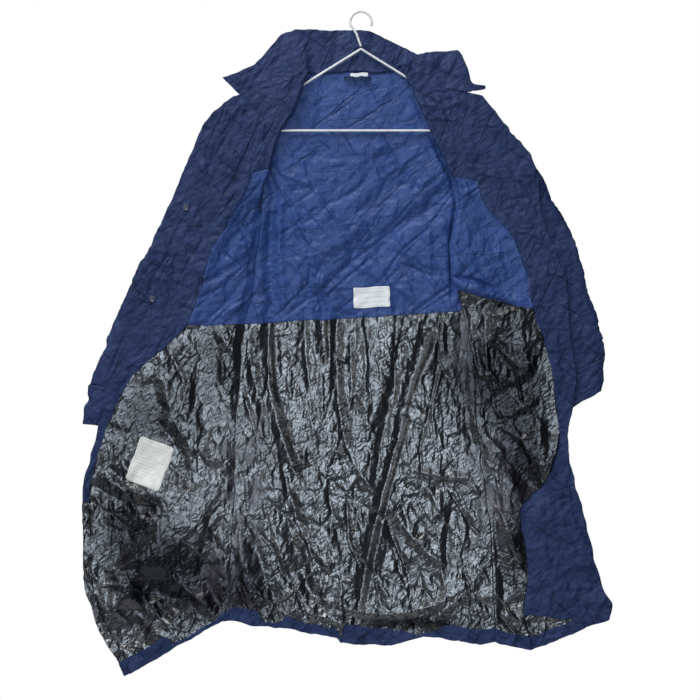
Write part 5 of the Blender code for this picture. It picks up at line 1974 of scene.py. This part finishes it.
# Distance from the middle with the radius as 1, and height in sixths of the radius
BUTTON_PROFILE = np.array(
    [
        (0, 0.12, 0.2, 0.28, 0.36, 0.45, 0.56, 0.64, 0.70, 0.80, 0.92, 0.98, 1.0, 0.99, 0.9, 0.5, 0),
        (1.6, 1.6, 1.6, 1.6, 1.6, 1.6, 1.6, 1.7, 2.1, 2.35, 2.2, 1.9, 1.3, 0.8, 0.3, 0, 0),
    ]
)


def outward(mesh, unused=()):
    """Removes unused points, turns all faces outwards and smooths the mesh."""
    shape = bmesh.new()
    shape.from_mesh(mesh)
    shape.verts.ensure_lookup_table()
    bmesh.ops.delete(shape, geom=[shape.verts[number] for number in unused], context="VERTS")
    bmesh.ops.recalc_face_normals(shape, faces=shape.faces)
    shape.to_mesh(mesh)
    shape.free()
    mesh.shade_smooth()


def button(name, centre, radius, facing, turn):
    """Rings of a turned profile with a raised rim. A hole is a pit of exp(-(distance / width)^4) in
    the ten rings nearest the middle. The last ring closes the back."""
    ring, rise = BUTTON_PROFILE
    angle = np.linspace(0, 2 * math.pi, BUTTON_SIDES, endpoint=False)
    x = ring[:, None] * np.cos(angle) * radius
    z = ring[:, None] * np.sin(angle) * radius
    height = np.repeat(rise[:, None], BUTTON_SIDES, axis=1) * radius / 6
    for corner in range(4):
        around = math.pi / 4 + corner * math.pi / 2 + turn
        off = np.hypot(x - 0.28 * radius * math.cos(around), z - 0.28 * radius * math.sin(around))
        height[:10] -= 1.1 * np.exp(-((off[:10] / (0.11 * radius)) ** 4))
    points = np.stack([centre[0] + x * MM, centre[1] + facing * height * MM, centre[2] + z * MM], axis=-1)
    index = np.arange(height.size).reshape(height.shape)
    index[0], index[-1] = 0, index[-1, 0]
    ahead = np.roll(index, -1, axis=1)
    quads = np.stack([index[:-1], ahead[:-1], ahead[1:], index[1:]], axis=-1).reshape(-1, 4)
    mesh = bpy.data.meshes.new(name)
    faces = [list(dict.fromkeys(face)) for face in quads.tolist()]
    mesh.from_pydata(points.reshape(-1, 3), [], faces)
    outward(mesh, sorted(set(range(len(mesh.vertices))) - set(np.unique(quads).tolist())))
    mesh.materials.append(BUTTON)
    return as_object(name, mesh)


print("a button's profile has", BUTTON_PROFILE.shape[1], "points")

# %% Buttons, sewn on
BUTTON_PLACES = ((-331.6, -371.0), (-395.8, -544.0))
for number, (x, z) in enumerate(BUTTON_PLACES, start=1):
    wide, high = np.meshgrid(np.linspace(-7, 7, 9), np.linspace(-7, 7, 9))
    rows, columns = places_on(right_front, (x + wide) * MM, (z + high) * MM, INNER)
    depth = read_at(right_front, rows, columns)[..., 1]
    near = (x * MM, float(depth.min()) - SEAM_GAP - SKIN_WALL, z * MM)
    small = button(f"backing_button_{number}_turned", near, 6.0, -1, 0.3 * number)
    show(small, "button", [f"backing_button_{number}"])
    behind = (x * MM, float(depth.max()) + SHELL_WALL + 0.6 * MM, z * MM)
    large = button(f"front_button_{number}_turned", behind, 10.5, 1, 0.5 * number)
    show(large, "button", [f"front_button_{number}"])
print("buttons:", 2 * len(BUTTON_PLACES))

# %% [markdown]
# ## Hanger
# The hanger is coated wire: a closed triangle, and a hook whose neck is joined to its top. A curve
# with a bevel gives the same wire. Here a circle is carried along the path, so the joint and the
# bends are where the solids have them.


# %% Wire along a path
WIRE_RADIUS, HOOK_RADIUS = 2.3 * MM, 20.5 * MM


def evened(path, count):
    """Points at even lengths along a path."""
    path = np.array(path, float)
    length = np.concatenate([[0], np.cumsum(np.hypot(*np.diff(path, axis=0).T))])
    even = np.linspace(0, length[-1], count + 1)
    return np.stack([np.interp(even, length, path[:, axis]) for axis in (0, 1)], axis=-1)


def wire(name, path, closed, replaces, sides=16):
    """Rings of radius r round each point of the path, square to its direction."""
    x, z = path.T
    points = np.stack([x, np.zeros_like(x), z], axis=-1)
    if closed:
        along = np.roll(points, -1, axis=0) - np.roll(points, 1, axis=0)
    else:
        along = np.gradient(points, axis=0)
    along /= np.linalg.norm(along, axis=1, keepdims=True)
    side = np.stack([-along[:, 2], along[:, 1], along[:, 0]], axis=-1)
    angle = np.arange(sides) * 2 * math.pi / sides
    ring = side[:, None] * np.cos(angle)[:, None] + np.array([0, 1, 0]) * np.sin(angle)[:, None]
    grid = points[:, None] + WIRE_RADIUS * ring
    index = np.arange(len(points) * sides).reshape(-1, sides)
    if closed:
        index = np.vstack([index, index[:1]])
    ahead = np.roll(index, -1, axis=1)
    quads = np.stack([index[:-1], ahead[:-1], ahead[1:], index[1:]], axis=-1).reshape(-1, 4).tolist()
    if not closed:
        quads += [index[0, ::-1].tolist(), index[-1].tolist()]
    mesh = bpy.data.meshes.new(name)
    mesh.from_pydata(grid.reshape(-1, 3), [], quads)
    outward(mesh)
    mesh.materials.append(WIRE)
    print(f"{name}: {len(quads)} faces")
    return show(as_object(name, mesh), "wire", replaces)


def arc(centre, radius, start, end, steps):
    """Points on a circle from one angle to another, in degrees."""
    angle = np.radians(np.linspace(start, end, steps))
    return [(centre[0] + radius * math.cos(a), centre[1] + radius * math.sin(a)) for a in angle]


print("the hook's inner radius is", round(1000 * (HOOK_RADIUS - WIRE_RADIUS), 1), "mm")

# %% Triangle and hook
HALF_WIDTH, JOINT_Z, BAR_Z, SLOPE, END_RADIUS = 0.205, -0.069, -0.224, 28.3, 0.018
end_x, end_z = HALF_WIDTH - END_RADIUS, BAR_Z + END_RADIUS
right_bend = arc((end_x, end_z), END_RADIUS, 90 - SLOPE, -90, 24)
left_bend = arc((-end_x, end_z), END_RADIUS, 270, 90 + SLOPE, 24)
loop_path = [(0.0, JOINT_Z)] + right_bend + left_bend + [(0.0, JOINT_Z)]
frame_nodes = ["hanger_bar", "hanger_right_arm", "hanger_left_arm"]
wire("hanger_frame_wire", evened(loop_path, 260)[:-1], True, frame_nodes)
foot = (0.0, JOINT_Z + 2 * WIRE_RADIUS + 0.6 * MM)
neck = [foot, (-0.003, -0.056), (-0.0085, -0.040), (-0.0145, -0.031)]
hook_path = neck + arc((0.0, WIRE_RADIUS - HOOK_RADIUS), HOOK_RADIUS, 196, -20, 40)
wire("hanger_hook_wire", evened(hook_path, 90), False, ["hanger_hook"])
